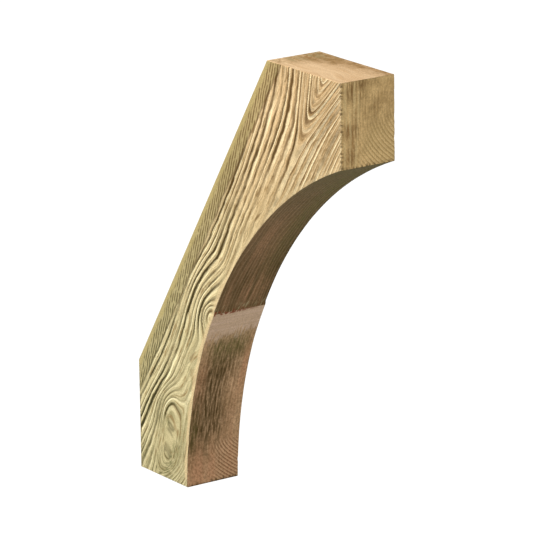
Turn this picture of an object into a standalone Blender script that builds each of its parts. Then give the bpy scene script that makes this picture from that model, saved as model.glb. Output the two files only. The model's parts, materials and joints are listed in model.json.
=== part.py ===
"""Timber-look knee bracket, cast in one piece of rigid polyurethane foam.

It braces a soffit from a wall: an upright face goes on the wall, a level face goes under the
soffit, the back between them is a straight slant and the underside is one round arch. The log's
rings are cast as grooves on both sides, on the nose and at the front of the foot.

Metres, +Z up. The origin is the middle of the wall face, +X points away from the wall.
"""
import math

import bmesh
import bpy
from mathutils import Matrix, Vector

# Outline, seen from the side
WIDTH = 0.1524
HEIGHT = 1.143
PROJECTION = 0.864
WALL_FACE_HEIGHT = 0.279
SOFFIT_FACE_LENGTH = 0.294
NOSE_HEIGHT = 0.205
FOOT_DEPTH = 0.206
ARCH_RADIUS = 1.032
EDGE_CHAMFER = 0.0025

# Lip across the arch, with its upper edge this far above the foot
LIP_HEIGHT = 0.472
LIP_STAND = 0.003
LIP_DROP = 0.010
LIP_FADE = 0.120

# Grooves of the grain
GROOVE_DEPTH = 0.0028
GROOVE_OFFSET = 0.0004
FAR_GROOVE_DEPTH = 0.0022
END_GROOVE_DEPTH = 0.0020
BACK_GROOVE_DEPTH = 0.0018
PLAIN_STRIP = 0.048
RING_SPACING = 0.0110
FAR_RING_SPACING = 0.021
END_RING_SPACING = 0.015
END_RING_COUNT = 8
END_PITH_BEYOND = 0.067
END_PITH_DROP = 0.050
FOOT_RING_SPACING = 0.012
FOOT_RING_COUNT = 7
FOOT_PITH_BEYOND = 0.034
FOOT_PITH_HEIGHT = 0.125
FOOT_FIRST_RADIUS = 0.053
BACK_GROOVE_SPACING = 0.026
BACK_GROOVE_MARGIN = 0.031
BACK_GROOVE_WAVE = 0.003
BACK_GROOVE_WAVELENGTH = 0.930
BACK_GROOVE_PHASE = math.radians(170)

# How finely round things are divided
ARCH_FACETS = 36
GRAIN_CELL = 0.016
GROOVE_TURN = math.radians(5)
GROOVE_SHORTEST_STEP = GRAIN_CELL / 3
GROOVE_LONGEST_STEP = GRAIN_CELL * 5
RING_STEP = math.radians(5)
BACK_GROOVE_STEPS = 8

# A groove runs out at its ends to this share of its depth, and a shorter one is left out.
# Where rings lie closer than the room that a groove needs, their grooves are shallower
GROOVE_END_SHARE = 0.2
SHORTEST_GROOVE = 0.042
GROOVE_ROOM = 0.0085

# Levels that follow from the sizes above
FOOT_Z = -WALL_FACE_HEIGHT / 2
TOP_Z = FOOT_Z + HEIGHT
LIP_Z = FOOT_Z + LIP_HEIGHT
NOSE_Z = TOP_Z - NOSE_HEIGHT
SLANT_FOOT = Vector((0.0, WALL_FACE_HEIGHT / 2))
SLANT_TOP = Vector((PROJECTION - SOFFIT_FACE_LENGTH, TOP_Z))
SLANT_LENGTH = (SLANT_TOP - SLANT_FOOT).length
ALONG = (SLANT_TOP - SLANT_FOOT) / SLANT_LENGTH
INWARD = Vector((ALONG.y, -ALONG.x))
FACE_DEPTH = (Vector((PROJECTION, NOSE_Z)) - SLANT_FOOT).dot(INWARD)

# The heart of the log runs under the side face, this share of the face's depth from the slant.
# Past it the rings lie closer by the steepness
HEART_SHARE = 0.58
HEART_SOFTNESS = 0.06
HEART_FAR_STEEPNESS = 1.25
# Up the slant the rings sweep towards the back, from this share of its length
SWEEP_START = 0.53
SWEEP_RISE = 0.196
# Near the nose they draw together into nested vees: start and softness are shares of the slant's
# length, place and breadth are shares of the face's depth
VEE_START = 0.941
VEE_SOFTNESS = 0.021
VEE_LEAN = 0.16
VEE_RISE = 0.85
VEE_PLACE = 0.497
VEE_BREADTH = 0.117
# Above the foot they close round a calm eye: place along the slant as a share of its length, the
# rest as shares of the face's depth
EYE_PLACE = -0.060
EYE_ACROSS = 0.573
EYE_HALF_LENGTH = 0.268
EYE_HALF_BREADTH = 0.190
EYE_RISE = 0.090
EYE_FLATNESS = 3.2
# Knots and the hollows beside them: place along the slant as a share of its length, then place
# across the face, half length, half breadth and lift as shares of the face's depth
KNOTS = (
    (0.311, 0.455, 0.084, 0.053, 0.145),
    (0.333, 0.335, 0.237, 0.140, 0.067),
    (0.463, 0.363, 0.168, 0.117, -0.045),
    (0.236, 0.489, 0.112, 0.101, -0.045),
    (0.106, 0.279, 0.251, 0.168, -0.028),
)


def clear_scene():
    """Empty the file, so that only the bracket is in it."""
    for obj in list(bpy.data.objects):
        bpy.data.objects.remove(obj, do_unlink=True)


def make_collection(name):
    """A collection of this name under the scene."""
    collection = bpy.data.collections.new(name)
    bpy.context.scene.collection.children.link(collection)
    return collection


def cast_foam_material():
    """Rigid foam with a matt tan skin, the colour of dry cedar."""
    material = bpy.data.materials.new("cast foam, cedar tan")
    material.use_nodes = True
    shader = material.node_tree.nodes["Principled BSDF"]
    shader.inputs["Base Color"].default_value = (0.50, 0.37, 0.20, 1.0)
    shader.inputs["Roughness"].default_value = 0.62
    shader.inputs["Metallic"].default_value = 0.0
    return material


def smooth_step(value):
    """0 below 0, 1 above 1, and an even S between."""
    value = min(max(value, 0.0), 1.0)
    return value * value * (3 - 2 * value)


def arch_centre():
    """Centre of the arch: it passes the foot's front corner and the nose's lower corner."""
    low = Vector((FOOT_DEPTH, FOOT_Z))
    high = Vector((PROJECTION, NOSE_Z))
    middle = (low + high) / 2
    half = (high - low) / 2
    rise = math.sqrt(ARCH_RADIUS**2 - half.length_squared)
    outward = Vector((half.y, -half.x)).normalized()
    return middle + outward * rise


def lip_stand(z):
    """How far the lip stands off the arch at a height: a slow swell, then a sudden end."""
    if z < LIP_Z:
        return LIP_STAND * smooth_step((z - LIP_Z + LIP_FADE) / LIP_FADE)
    return LIP_STAND * (1 - smooth_step((z - LIP_Z) / LIP_DROP))


def arch_x(z):
    """The arch face's distance from the wall at a height, with the lip."""
    centre = arch_centre()
    return centre.x - math.sqrt(ARCH_RADIUS**2 - (z - centre.y) ** 2) + lip_stand(z)


def outline():
    """The side's outline as (x, z) points: wall face, foot, arch, nose, soffit face, slant."""
    points = [Vector((0.0, WALL_FACE_HEIGHT / 2)), Vector((0.0, FOOT_Z))]
    heights = [FOOT_Z + (NOSE_Z - FOOT_Z) * i / ARCH_FACETS for i in range(ARCH_FACETS + 1)]
    edge = [LIP_Z, LIP_Z + LIP_DROP / 2, LIP_Z + LIP_DROP]
    clear = (NOSE_Z - FOOT_Z) / ARCH_FACETS / 3
    heights = [z for z in heights if min(abs(z - e) for e in edge) > clear or z in (FOOT_Z, NOSE_Z)]
    for z in sorted(heights + edge):
        points.append(Vector((arch_x(z), z)))
    points += [Vector((PROJECTION, TOP_Z)), SLANT_TOP]
    return points


def mesh_from_curve(obj, name, collection):
    """Turn a curve object into a closed mesh object of its own, standing where the curve stood."""
    graph = bpy.context.evaluated_depsgraph_get()
    mesh = bpy.data.meshes.new_from_object(obj.evaluated_get(graph))
    work = bmesh.new()
    work.from_mesh(mesh)
    bmesh.ops.remove_doubles(work, verts=work.verts, dist=1e-6)
    bmesh.ops.recalc_face_normals(work, faces=work.faces)
    work.to_mesh(mesh)
    work.free()
    made = bpy.data.objects.new(name, mesh)
    made.matrix_world = obj.matrix_world.copy()
    collection.objects.link(made)
    bpy.data.objects.remove(obj, do_unlink=True)
    return made


def add_line(curve, points, radii):
    """One straight-sided spline through these points."""
    spline = curve.splines.new("POLY")
    spline.points.add(len(points) - 1)
    for target, point, radius in zip(spline.points, points, radii):
        target.co = (*point, 0.0, 1.0) if len(point) == 2 else (*point, 1.0)
        target.radius = radius
    return spline


def make_body(collection):
    """The casting itself: its outline stretched to the width, with eased edges."""
    curve = bpy.data.curves.new("outline", "CURVE")
    curve.dimensions = "2D"
    curve.fill_mode = "BOTH"
    curve.extrude = WIDTH / 2
    points = outline()
    spline = add_line(curve, points, [1.0] * len(points))
    spline.use_cyclic_u = True
    flat = bpy.data.objects.new("outline", curve)
    flat.rotation_euler = (math.radians(90), 0.0, 0.0)
    collection.objects.link(flat)
    bpy.context.view_layer.update()
    body = mesh_from_curve(flat, "bracket", collection)
    bevel = body.modifiers.new("eased edges", "BEVEL")
    bevel.width = EDGE_CHAMFER
    bevel.segments = 1
    bevel.limit_method = "ANGLE"
    bevel.angle_limit = math.radians(30)
    body.data.materials.append(cast_foam_material())
    return body


def hump(value):
    """A bell, 1 at 0."""
    return math.exp(-0.5 * value * value)


def ramp(value, softness):
    """0 below 0 and the value itself above, with a rounded start."""
    return softness * math.log1p(math.exp(min(value / softness, 60.0)))


def ring_depth(along, deep):
    """Depth into the log of a point on the side face, from its bark side towards its heart.

    along is measured up the slant from the wall face, deep inward from the slant, square to it.
    """
    past_vee = ramp(along - VEE_START * SLANT_LENGTH, VEE_SOFTNESS * SLANT_LENGTH)
    heart = HEART_SHARE * FACE_DEPTH
    softness = HEART_SOFTNESS * FACE_DEPTH
    off_heart = deep - (heart - VEE_LEAN * past_vee)
    away = math.hypot(off_heart, softness) - softness
    depth = heart - away * (HEART_FAR_STEEPNESS if off_heart > 0 else 1.0)
    swept = max(along / SLANT_LENGTH - SWEEP_START, 0.0) / (1 - SWEEP_START)
    across = min(max(deep / heart, 0.0), 1.0)
    depth += SWEEP_RISE * FACE_DEPTH * swept**2 * 4 * across * (1 - across)
    off_vee = (deep / FACE_DEPTH - VEE_PLACE) / VEE_BREADTH
    depth += VEE_RISE * past_vee * hump(off_vee)
    for place, knot_across, half_length, half_breadth, lift in KNOTS:
        off_along = (along - place * SLANT_LENGTH) / (half_length * FACE_DEPTH)
        off_across = (deep / FACE_DEPTH - knot_across) / half_breadth
        depth += lift * FACE_DEPTH * hump(off_along) * hump(off_across)
    eye_along = (along - EYE_PLACE * SLANT_LENGTH) / (EYE_HALF_LENGTH * FACE_DEPTH)
    eye_across = (deep / FACE_DEPTH - EYE_ACROSS) / EYE_HALF_BREADTH
    calm = 2 ** -(math.hypot(eye_along, eye_across) ** EYE_FLATNESS)
    return depth + (heart + EYE_RISE * FACE_DEPTH - depth) * calm


def ring_sheet():
    """A sheet over the side face that rises with the depth into the log."""
    low = min((p - SLANT_FOOT).dot(ALONG) for p in outline()) - GRAIN_CELL
    high = max((p - SLANT_FOOT).dot(ALONG) for p in outline()) + GRAIN_CELL
    deep = FACE_DEPTH + GRAIN_CELL
    columns = math.ceil((high - low) / GRAIN_CELL)
    rows = math.ceil((deep - PLAIN_STRIP) / GRAIN_CELL)
    sheet = bmesh.new()
    bmesh.ops.create_grid(sheet, x_segments=columns, y_segments=rows, size=0.5)
    for vert in sheet.verts:
        vert.co.x = low + (high - low) * (vert.co.x + 0.5)
        vert.co.y = PLAIN_STRIP + (deep - PLAIN_STRIP) * (vert.co.y + 0.5)
        vert.co.z = ring_depth(vert.co.x, vert.co.y)
    return sheet


def chains(edges):
    """Edges put end to end, as lists of (along, deep) points; a ring's first point comes twice."""
    links = {}
    for edge in edges:
        for vert in edge.verts:
            links.setdefault(vert, []).append(edge)
    starts = [v for v in links if len(links[v]) != 2] + list(links)
    used = set()
    found = []
    for start in starts:
        for first in links[start]:
            if first in used:
                continue
            line, edge, vert = [start.co.xy], first, start
            while edge is not None:
                used.add(edge)
                vert = edge.other_vert(vert)
                line.append(vert.co.xy)
                onward = [e for e in links[vert] if e not in used]
                edge = onward[0] if len(links[vert]) == 2 and onward else None
            found.append([Vector(p) for p in line])
    return found


def ring_lines(spacing):
    """Where rings this far apart meet the side face, as lists of (along, deep) points."""
    sheet = ring_sheet()
    highest = max(v.co.z for v in sheet.verts)
    lines = []
    level = PLAIN_STRIP + spacing / 2
    while level < highest:
        everything = sheet.verts[:] + sheet.edges[:] + sheet.faces[:]
        cut = bmesh.ops.bisect_plane(
            sheet, geom=everything, plane_co=(0, 0, level), plane_no=(0, 0, 1), dist=1e-7
        )["geom_cut"]
        lines += chains([e for e in cut if isinstance(e, bmesh.types.BMEdge)])
        level += spacing
    sheet.free()
    return lines


def fewer_points(line):
    """The line without the points that it passes nearly straight."""
    kept = [line[0]]
    for here, after in zip(line[1:-1], line[2:]):
        before = here - kept[-1]
        onward = after - here
        if before.length < GROOVE_SHORTEST_STEP:
            continue
        if onward.length > 1e-6 and before.angle(onward) > GROOVE_TURN:
            kept.append(here)
        elif before.length > GROOVE_LONGEST_STEP:
            kept.append(here)
    kept.append(line[-1])
    return kept


def tapered(points, shares=None):
    """The points with a groove's share of its full depth at each, which dies out at both ends."""
    shares = shares or [1.0] * len(points)
    return points, [GROOVE_END_SHARE, *shares[1:-1], GROOVE_END_SHARE]


def make_cutter(name, lines, depth, place, collection, flat=True):
    """Square rods laid edge down along the lines, which cut a groove of this depth.

    A line is its points and a share of the depth for each. place turns the lines' own plane to
    the face; lines of three numbers lie where they are.
    """
    curve = bpy.data.curves.new(name, "CURVE")
    curve.dimensions = "2D" if flat else "3D"
    curve.fill_mode = "NONE" if flat else "FULL"
    curve.bevel_depth = depth + GROOVE_OFFSET
    curve.bevel_resolution = 0
    curve.use_fill_caps = True
    for points, shares in lines:
        add_line(curve, points, shares)
    rods = bpy.data.objects.new(name, curve)
    rods.matrix_world = place
    collection.objects.link(rods)
    bpy.context.view_layer.update()
    cutter = mesh_from_curve(rods, name, collection)
    cutter.hide_render = True
    cutter.display_type = "WIRE"
    return cutter


def carve(body, cutter):
    """Cut the body with the cutter."""
    cut = body.modifiers.new(cutter.name, "BOOLEAN")
    cut.operation = "DIFFERENCE"
    cut.solver = "EXACT"
    cut.use_self = True
    cut.object = cutter


def face_matrix(across, up, origin):
    """Matrix that lays a drawing's X and Y along these two directions, through the origin."""
    across, up = Vector(across), Vector(up)
    out = across.cross(up)
    matrix = Matrix((across, up, out)).transposed().to_4x4()
    matrix.translation = Vector(origin) + out * GROOVE_OFFSET
    return matrix


def uncrowded(point, spacing):
    """Share of its full depth that a groove may have here beside its neighbours."""
    step = GRAIN_CELL / 8
    up_slant = ring_depth(point.x + step, point.y) - ring_depth(point.x - step, point.y)
    inward = ring_depth(point.x, point.y + step) - ring_depth(point.x, point.y - step)
    steepness = math.hypot(up_slant, inward) / (2 * step)
    return min(spacing / (GROOVE_ROOM * max(steepness, GROOVE_END_SHARE)), 1.0)


def side_grooves(spacing, turned=1):
    """The rings of a side face as (x, z) lines; turned is -1 for x the other way round."""
    found = []
    for line in ring_lines(spacing):
        kept = fewer_points(line)
        length = sum((b - a).length for a, b in zip(kept, kept[1:]))
        if length > SHORTEST_GROOVE:
            points = [SLANT_FOOT + ALONG * p.x + INWARD * p.y for p in kept]
            points = [Vector((turned * p.x, p.y)) for p in points]
            found.append(tapered(points, [uncrowded(p, spacing) for p in kept]))
    return found


def ring_arc(pith, radius, start, sweep):
    """Points of one end ring about its pith, anticlockwise from an angle."""
    steps = int(sweep / RING_STEP)
    angles = [start + step * RING_STEP for step in range(steps)]
    return [pith + radius * Vector((math.cos(angle), math.sin(angle))) for angle in angles]


def nose_grooves():
    """The log's end rings on the nose, as (y, z) arcs about a heart beyond the far edge."""
    pith = Vector((WIDTH / 2 + END_PITH_BEYOND, TOP_Z - END_PITH_DROP))
    first = END_PITH_BEYOND + END_RING_SPACING * 2
    lines = []
    for ring in range(END_RING_COUNT):
        arc = ring_arc(pith, first + ring * END_RING_SPACING, math.radians(180), math.radians(95))
        lines.append([p for p in arc if abs(p.x) < WIDTH / 2 + END_RING_SPACING])
    return [tapered(line) for line in lines if len(line) > 2]


def foot_grooves():
    """The end rings low on the arch face, as (x, y, z) arcs that follow the face."""
    pith = Vector((WIDTH / 2 + FOOT_PITH_BEYOND, FOOT_Z + FOOT_PITH_HEIGHT))
    lines = []
    for ring in range(FOOT_RING_COUNT):
        radius = FOOT_FIRST_RADIUS + ring * FOOT_RING_SPACING
        arc = ring_arc(pith, radius, math.radians(205), math.radians(75))
        arc = [p for p in arc if p.x < WIDTH / 2 + FOOT_RING_SPACING]
        arc = [p for p in arc if p.y > FOOT_Z - FOOT_RING_SPACING / 2]
        lines.append([(arch_x(max(p.y, FOOT_Z)) + GROOVE_OFFSET, p.x, p.y) for p in arc])
    return [tapered(line) for line in lines if len(line) > 2]


def back_grooves():
    """Long, slightly wavy lines down the slanted back, as (across, along) lines."""
    count = int((WIDTH - BACK_GROOVE_SPACING) / BACK_GROOVE_SPACING)
    lines = []
    for groove in range(count):
        across = (groove - (count - 1) / 2) * BACK_GROOVE_SPACING
        line = []
        for step in range(BACK_GROOVE_STEPS + 1):
            share = step / BACK_GROOVE_STEPS
            along = BACK_GROOVE_MARGIN + (SLANT_LENGTH - 2 * BACK_GROOVE_MARGIN) * share
            turn = BACK_GROOVE_PHASE * groove + math.tau * along / BACK_GROOVE_WAVELENGTH
            line.append(Vector((across + BACK_GROOVE_WAVE * math.sin(turn), along)))
        lines.append(tapered(line))
    return lines


def main():
    """Build the bracket."""
    clear_scene()
    parts = make_collection("polyurethane bracket")
    cutters = make_collection("groove cutters")
    cutters.hide_render = True
    body = make_body(parts)

    near = face_matrix((1, 0, 0), (0, 0, 1), (0, -WIDTH / 2, 0))
    far = face_matrix((-1, 0, 0), (0, 0, 1), (0, WIDTH / 2, 0))
    nose = face_matrix((0, 1, 0), (0, 0, 1), (PROJECTION, 0, 0))
    up_slant = (ALONG.x, 0, ALONG.y)
    back = face_matrix((0, -1, 0), up_slant, (SLANT_FOOT.x, 0, SLANT_FOOT.y))

    near_lines = side_grooves(RING_SPACING)
    far_lines = side_grooves(FAR_RING_SPACING, turned=-1)
    carve(body, make_cutter("near side grain", near_lines, GROOVE_DEPTH, near, cutters))
    carve(body, make_cutter("far side grain", far_lines, FAR_GROOVE_DEPTH, far, cutters))
    carve(body, make_cutter("nose rings", nose_grooves(), END_GROOVE_DEPTH, nose, cutters))
    carve(body, make_cutter("back lines", back_grooves(), BACK_GROOVE_DEPTH, back, cutters))
    rings = make_cutter(
        "foot rings", foot_grooves(), END_GROOVE_DEPTH, Matrix.Identity(4), cutters, flat=False
    )
    carve(body, rings)


main()
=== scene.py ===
"""Looks of a timber-look knee bracket, cast in one piece of rigid polyurethane foam.

The casting copies a sawn cedar log: its rings show as ridges and grooves on both sides, as arcs on
the nose and low on the front, and as long lines on the slanted back. A stain darkens the arch.

Places on a side face are given by "along", measured up the slant from the top of the wall face,
and "deep", measured inward from the slant and square to it. Lengths are metres, apart from the
sizes in the finishes' patterns, which are millimetres.
"""
import json
import logging
import math
from dataclasses import dataclass, field, fields
from enum import IntEnum
from typing import Any

import bpy
import numpy as np
from mathutils import Matrix, Vector


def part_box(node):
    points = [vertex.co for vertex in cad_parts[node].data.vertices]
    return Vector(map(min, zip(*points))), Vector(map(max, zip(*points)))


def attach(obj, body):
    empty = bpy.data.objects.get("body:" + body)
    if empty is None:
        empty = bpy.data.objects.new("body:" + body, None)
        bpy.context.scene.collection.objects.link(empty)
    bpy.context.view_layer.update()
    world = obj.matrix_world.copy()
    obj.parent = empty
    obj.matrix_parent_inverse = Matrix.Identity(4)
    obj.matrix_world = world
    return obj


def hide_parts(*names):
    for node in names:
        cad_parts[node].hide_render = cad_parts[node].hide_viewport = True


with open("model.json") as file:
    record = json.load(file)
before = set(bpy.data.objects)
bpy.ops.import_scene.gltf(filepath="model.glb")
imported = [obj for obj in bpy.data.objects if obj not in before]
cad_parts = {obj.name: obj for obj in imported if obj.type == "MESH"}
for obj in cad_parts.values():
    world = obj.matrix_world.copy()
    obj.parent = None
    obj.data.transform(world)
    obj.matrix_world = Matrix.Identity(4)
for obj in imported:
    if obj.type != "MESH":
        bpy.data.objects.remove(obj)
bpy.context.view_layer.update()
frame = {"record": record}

NODE = "bracket"
BODY = "root"

# What a pattern's width is measured in: millimetres, rings, or rows of strokes
MM = 0.001
RING = 1.0
ROW = 1.0

log = logging.getLogger("bracket")

Socket = bpy.types.NodeSocket
Tree = bpy.types.NodeTree
# Places and grey values of a colour ramp
Stops = tuple[tuple[float, float], ...]
# From where to where a band is full, None where it has no end, and how far it fades beyond
Band = tuple[float | None, float | None, float]


class Face(IntEnum):
    """The casting's faces, as the mesh numbers them."""

    NEAR = 0
    FAR = 1
    ARCH = 2
    NOSE = 3
    SOFFIT = 4
    BACK = 5
    WALL = 6
    FOOT = 7


def linear(colour: str) -> tuple[float, float, float, float]:
    """Turn an sRGB hex colour into the linear colour that Blender's sockets hold.

    Args:
        colour: Six hex digits after a hash sign.

    Returns:
        Linear red, green and blue, and an alpha of 1.
    """
    parts = [int(colour[i : i + 2], 16) / 255 for i in (1, 3, 5)]
    values = [p / 12.92 if p <= 0.04045 else ((p + 0.055) / 1.055) ** 2.4 for p in parts]
    return (values[0], values[1], values[2], 1.0)


def put(
    tree: Tree,
    kind: str,
    inputs: dict[int | str, Any] | None = None,
    out: int | str = 0,
    stops: Stops = (),
    **settings: Any,
) -> Socket:
    """Add a node to a tree, with its settings, values and links.

    Args:
        tree: The node tree that gets the node.
        kind: The node's type name.
        inputs: Values or sockets for the node's inputs, by name or number.
        out: Which output to give back.
        stops: Places and grey values of a colour ramp.
        **settings: The node's own properties.

    Returns:
        The chosen output.
    """
    node = tree.nodes.new(kind)
    for name, value in settings.items():
        setattr(node, name, value)
    for key, value in (inputs or {}).items():
        if isinstance(value, Socket):
            tree.links.new(value, node.inputs[key])
        else:
            node.inputs[key].default_value = value
    if stops:
        elements = node.color_ramp.elements
        while len(elements) < len(stops):
            elements.new(1.0)
        for element, (place, grey) in zip(elements, stops):
            element.position = place
            element.color = (grey, grey, grey, 1.0)
    return node.outputs[out]


def smooth_step(value: np.ndarray) -> np.ndarray:
    """Give 0 below 0, 1 above 1, and an even S between."""
    value = np.clip(value, 0.0, 1.0)
    return value * value * (3 - 2 * value)


def fade_in(value: np.ndarray, start: float, full: float) -> np.ndarray:
    """Give 0 at the start, 1 where it is full, and an even S between."""
    return smooth_step((value - start) / (full - start))


def hump(value: np.ndarray) -> np.ndarray:
    """Give a bell that is 1 at 0."""
    return np.exp(-0.5 * value * value)


def tent(value: np.ndarray, softness: float) -> np.ndarray:
    """Give a pointed bell that is 1 at 0, its point rounded by the softness."""
    return np.exp(softness - np.hypot(value, softness))


def ramp_up(value: np.ndarray, softness: float) -> np.ndarray:
    """Give 0 below 0 and the value itself above, with a rounded start."""
    return softness * np.logaddexp(0.0, value / softness)


@dataclass(frozen=True)
class Patch:
    """A soft oval on a face, with its place and half sizes in metres.

    Fields are the oval's middle and half size along each of the face's two directions, then
    what it adds in the middle.
    """

    first: float
    second: float
    first_half: float
    second_half: float
    amount: float

    def at(self, first: np.ndarray, second: np.ndarray) -> np.ndarray:
        """Give what the patch adds at some places.

        Args:
            first: Places along the face's first direction.
            second: Places along its second.

        Returns:
            What the patch adds at each.
        """
        off_first = (first - self.first) / self.first_half
        off_second = (second - self.second) / self.second_half
        return self.amount * hump(off_first) * hump(off_second)


@dataclass(frozen=True)
class Wave:
    """A wave that moves lines sideways.

    Fields are how far it swings, its turn in radians for each metre along and across the lines,
    and the turn that it starts with.
    """

    swing: float
    along: float
    across: float
    start: float = 0.0

    def at(self, along: np.ndarray, across: np.ndarray) -> np.ndarray:
        """Give how far lines are moved at these places."""
        return self.swing * np.sin(self.along * along + self.across * across + self.start)


@dataclass(frozen=True)
class Outline:
    """The side's outline: sizes that the frame gives, and those that it can't."""

    width: float
    height: float
    projection: float
    wall_face: float
    soffit_face: float
    nose: float = 0.205
    foot: float = 0.206
    arch_radius: float = 1.032
    lip_height: float = 0.472
    lip_stand: float = 0.003
    lip_drop: float = 0.010
    lip_fade: float = 0.120
    edge_round: float = 0.0025
    arch_steps: int = 400
    corner_steps: int = 6

    @classmethod
    def from_frame(cls, node: str) -> "Outline":
        """Read the outline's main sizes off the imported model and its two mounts.

        Args:
            node: The casting's node.

        Returns:
            The outline.
        """
        low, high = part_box(node)
        mounts = {m["name"]: m for m in frame["record"]["mounts"]}
        soffit_x = mounts["soffit_face"]["pos_m"][0]
        return cls(
            width=high.y - low.y,
            height=high.z - low.z,
            projection=high.x - low.x,
            wall_face=-2 * low.z,
            soffit_face=2 * (high.x - soffit_x),
        )

    @property
    def foot_z(self) -> float:
        """Height of the foot's underside."""
        return -self.wall_face / 2

    @property
    def top_z(self) -> float:
        """Height of the soffit face."""
        return self.foot_z + self.height

    @property
    def nose_z(self) -> float:
        """Height of the nose's lower edge."""
        return self.top_z - self.nose

    @property
    def slant_foot(self) -> np.ndarray:
        """Where the slant starts, above the wall face."""
        return np.array([0.0, self.wall_face / 2])

    @property
    def slant_top(self) -> np.ndarray:
        """Where the slant ends, at the back of the soffit face."""
        return np.array([self.projection - self.soffit_face, self.top_z])

    @property
    def slant_length(self) -> float:
        """Length of the slanted back."""
        return float(np.linalg.norm(self.slant_top - self.slant_foot))

    @property
    def up_slant(self) -> np.ndarray:
        """Unit (x, z) direction up the slant."""
        return (self.slant_top - self.slant_foot) / self.slant_length

    @property
    def inward(self) -> np.ndarray:
        """Unit (x, z) direction from the slant into the casting."""
        return np.array([self.up_slant[1], -self.up_slant[0]])

    @property
    def foot_along(self) -> float:
        """Place along the slant of the foot's front edge."""
        return float(self.place(np.array(self.foot), np.array(self.foot_z))[0])

    @property
    def nose_along(self) -> float:
        """Place along the slant of the nose's lower edge."""
        return float(self.place(np.array(self.projection), np.array(self.nose_z))[0])

    def place(self, x: np.ndarray, z: np.ndarray) -> tuple[np.ndarray, np.ndarray]:
        """Turn x and z into along and deep."""
        off = np.stack([x, z], -1) - self.slant_foot
        return off @ self.up_slant, off @ self.inward

    def arch_centre(self) -> np.ndarray:
        """Find the centre of the arch, through the foot's front and the nose's lower edge.

        Returns:
            Its x and z.
        """
        low = np.array([self.foot, self.foot_z])
        high = np.array([self.projection, self.nose_z])
        half = (high - low) / 2
        rise = math.sqrt(self.arch_radius**2 - half @ half)
        outward = np.array([half[1], -half[0]]) / np.linalg.norm(half)
        return (low + high) / 2 + outward * rise

    def stand(self, z: np.ndarray) -> np.ndarray:
        """Give how far the lip stands off the arch: a slow swell, then a sudden end.

        Args:
            z: Heights.

        Returns:
            How far it stands off at each.
        """
        lip_z = self.foot_z + self.lip_height
        swell = smooth_step((z - lip_z + self.lip_fade) / self.lip_fade)
        drop = 1 - smooth_step((z - lip_z) / self.lip_drop)
        return self.lip_stand * np.where(z < lip_z, swell, drop)

    def arch_x(self, z: np.ndarray) -> np.ndarray:
        """Give the arch's distance from the wall at a height, with the lip."""
        centre = self.arch_centre()
        return centre[0] - np.sqrt(self.arch_radius**2 - (z - centre[1]) ** 2) + self.stand(z)

    def chains(self) -> tuple[np.ndarray, np.ndarray]:
        """Trace the outline with its corners rounded, as an outer and an inner chain.

        Returns:
            Rows of (along, deep), both from the foot's back corner to the nose's top corner.
        """
        z = np.linspace(self.foot_z, self.nose_z, self.arch_steps)
        arch = np.stack([self.arch_x(z), z], -1)
        corners = np.array([
            [self.projection, self.top_z],
            [self.projection - self.soffit_face, self.top_z],
            self.slant_foot,
            [0.0, self.foot_z],
        ])
        points = np.concatenate([arch, corners])
        sharp = {0, len(arch) - 1} | {len(arch) + i for i in range(len(corners))}
        rounded = []
        for i, here in enumerate(points):
            if i not in sharp:
                rounded.append(here)
                continue
            before, after = points[i - 1], points[(i + 1) % len(points)]
            rounded += self.rounded_corner(before, here, after)
        along, deep = self.place(*np.array(rounded).T)
        chain = np.stack([along, deep], -1)
        start, end = int(along.argmin()), int(along.argmax())
        ring = np.roll(chain, -start, axis=0)
        middle = (end - start) % len(chain)
        return ring[: middle + 1], np.concatenate([ring[middle:], ring[:1]])[::-1]

    def rounded_corner(self, before: np.ndarray, here: np.ndarray, after: np.ndarray) -> list:
        """Put an arc of the edge's radius in place of a corner.

        Args:
            before: The point before the corner.
            here: The corner.
            after: The point after it.

        Returns:
            The arc's points.
        """
        back = (before - here) / np.linalg.norm(before - here)
        on = (after - here) / np.linalg.norm(after - here)
        half = math.acos(float(np.clip(back @ on, -1, 1))) / 2
        reach = self.edge_round / math.tan(half)
        limit = min(np.linalg.norm(before - here), np.linalg.norm(after - here))
        if reach > limit:
            return [here]
        middle = (back + on) / np.linalg.norm(back + on)
        centre = here + middle * self.edge_round / math.sin(half)
        first = here + back * reach - centre
        last = here + on * reach - centre
        arc = []
        for share in np.linspace(0, 1, self.corner_steps + 1):
            turn = first * (1 - share) + last * share
            arc.append(centre + turn / np.linalg.norm(turn) * self.edge_round)
        return arc


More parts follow.
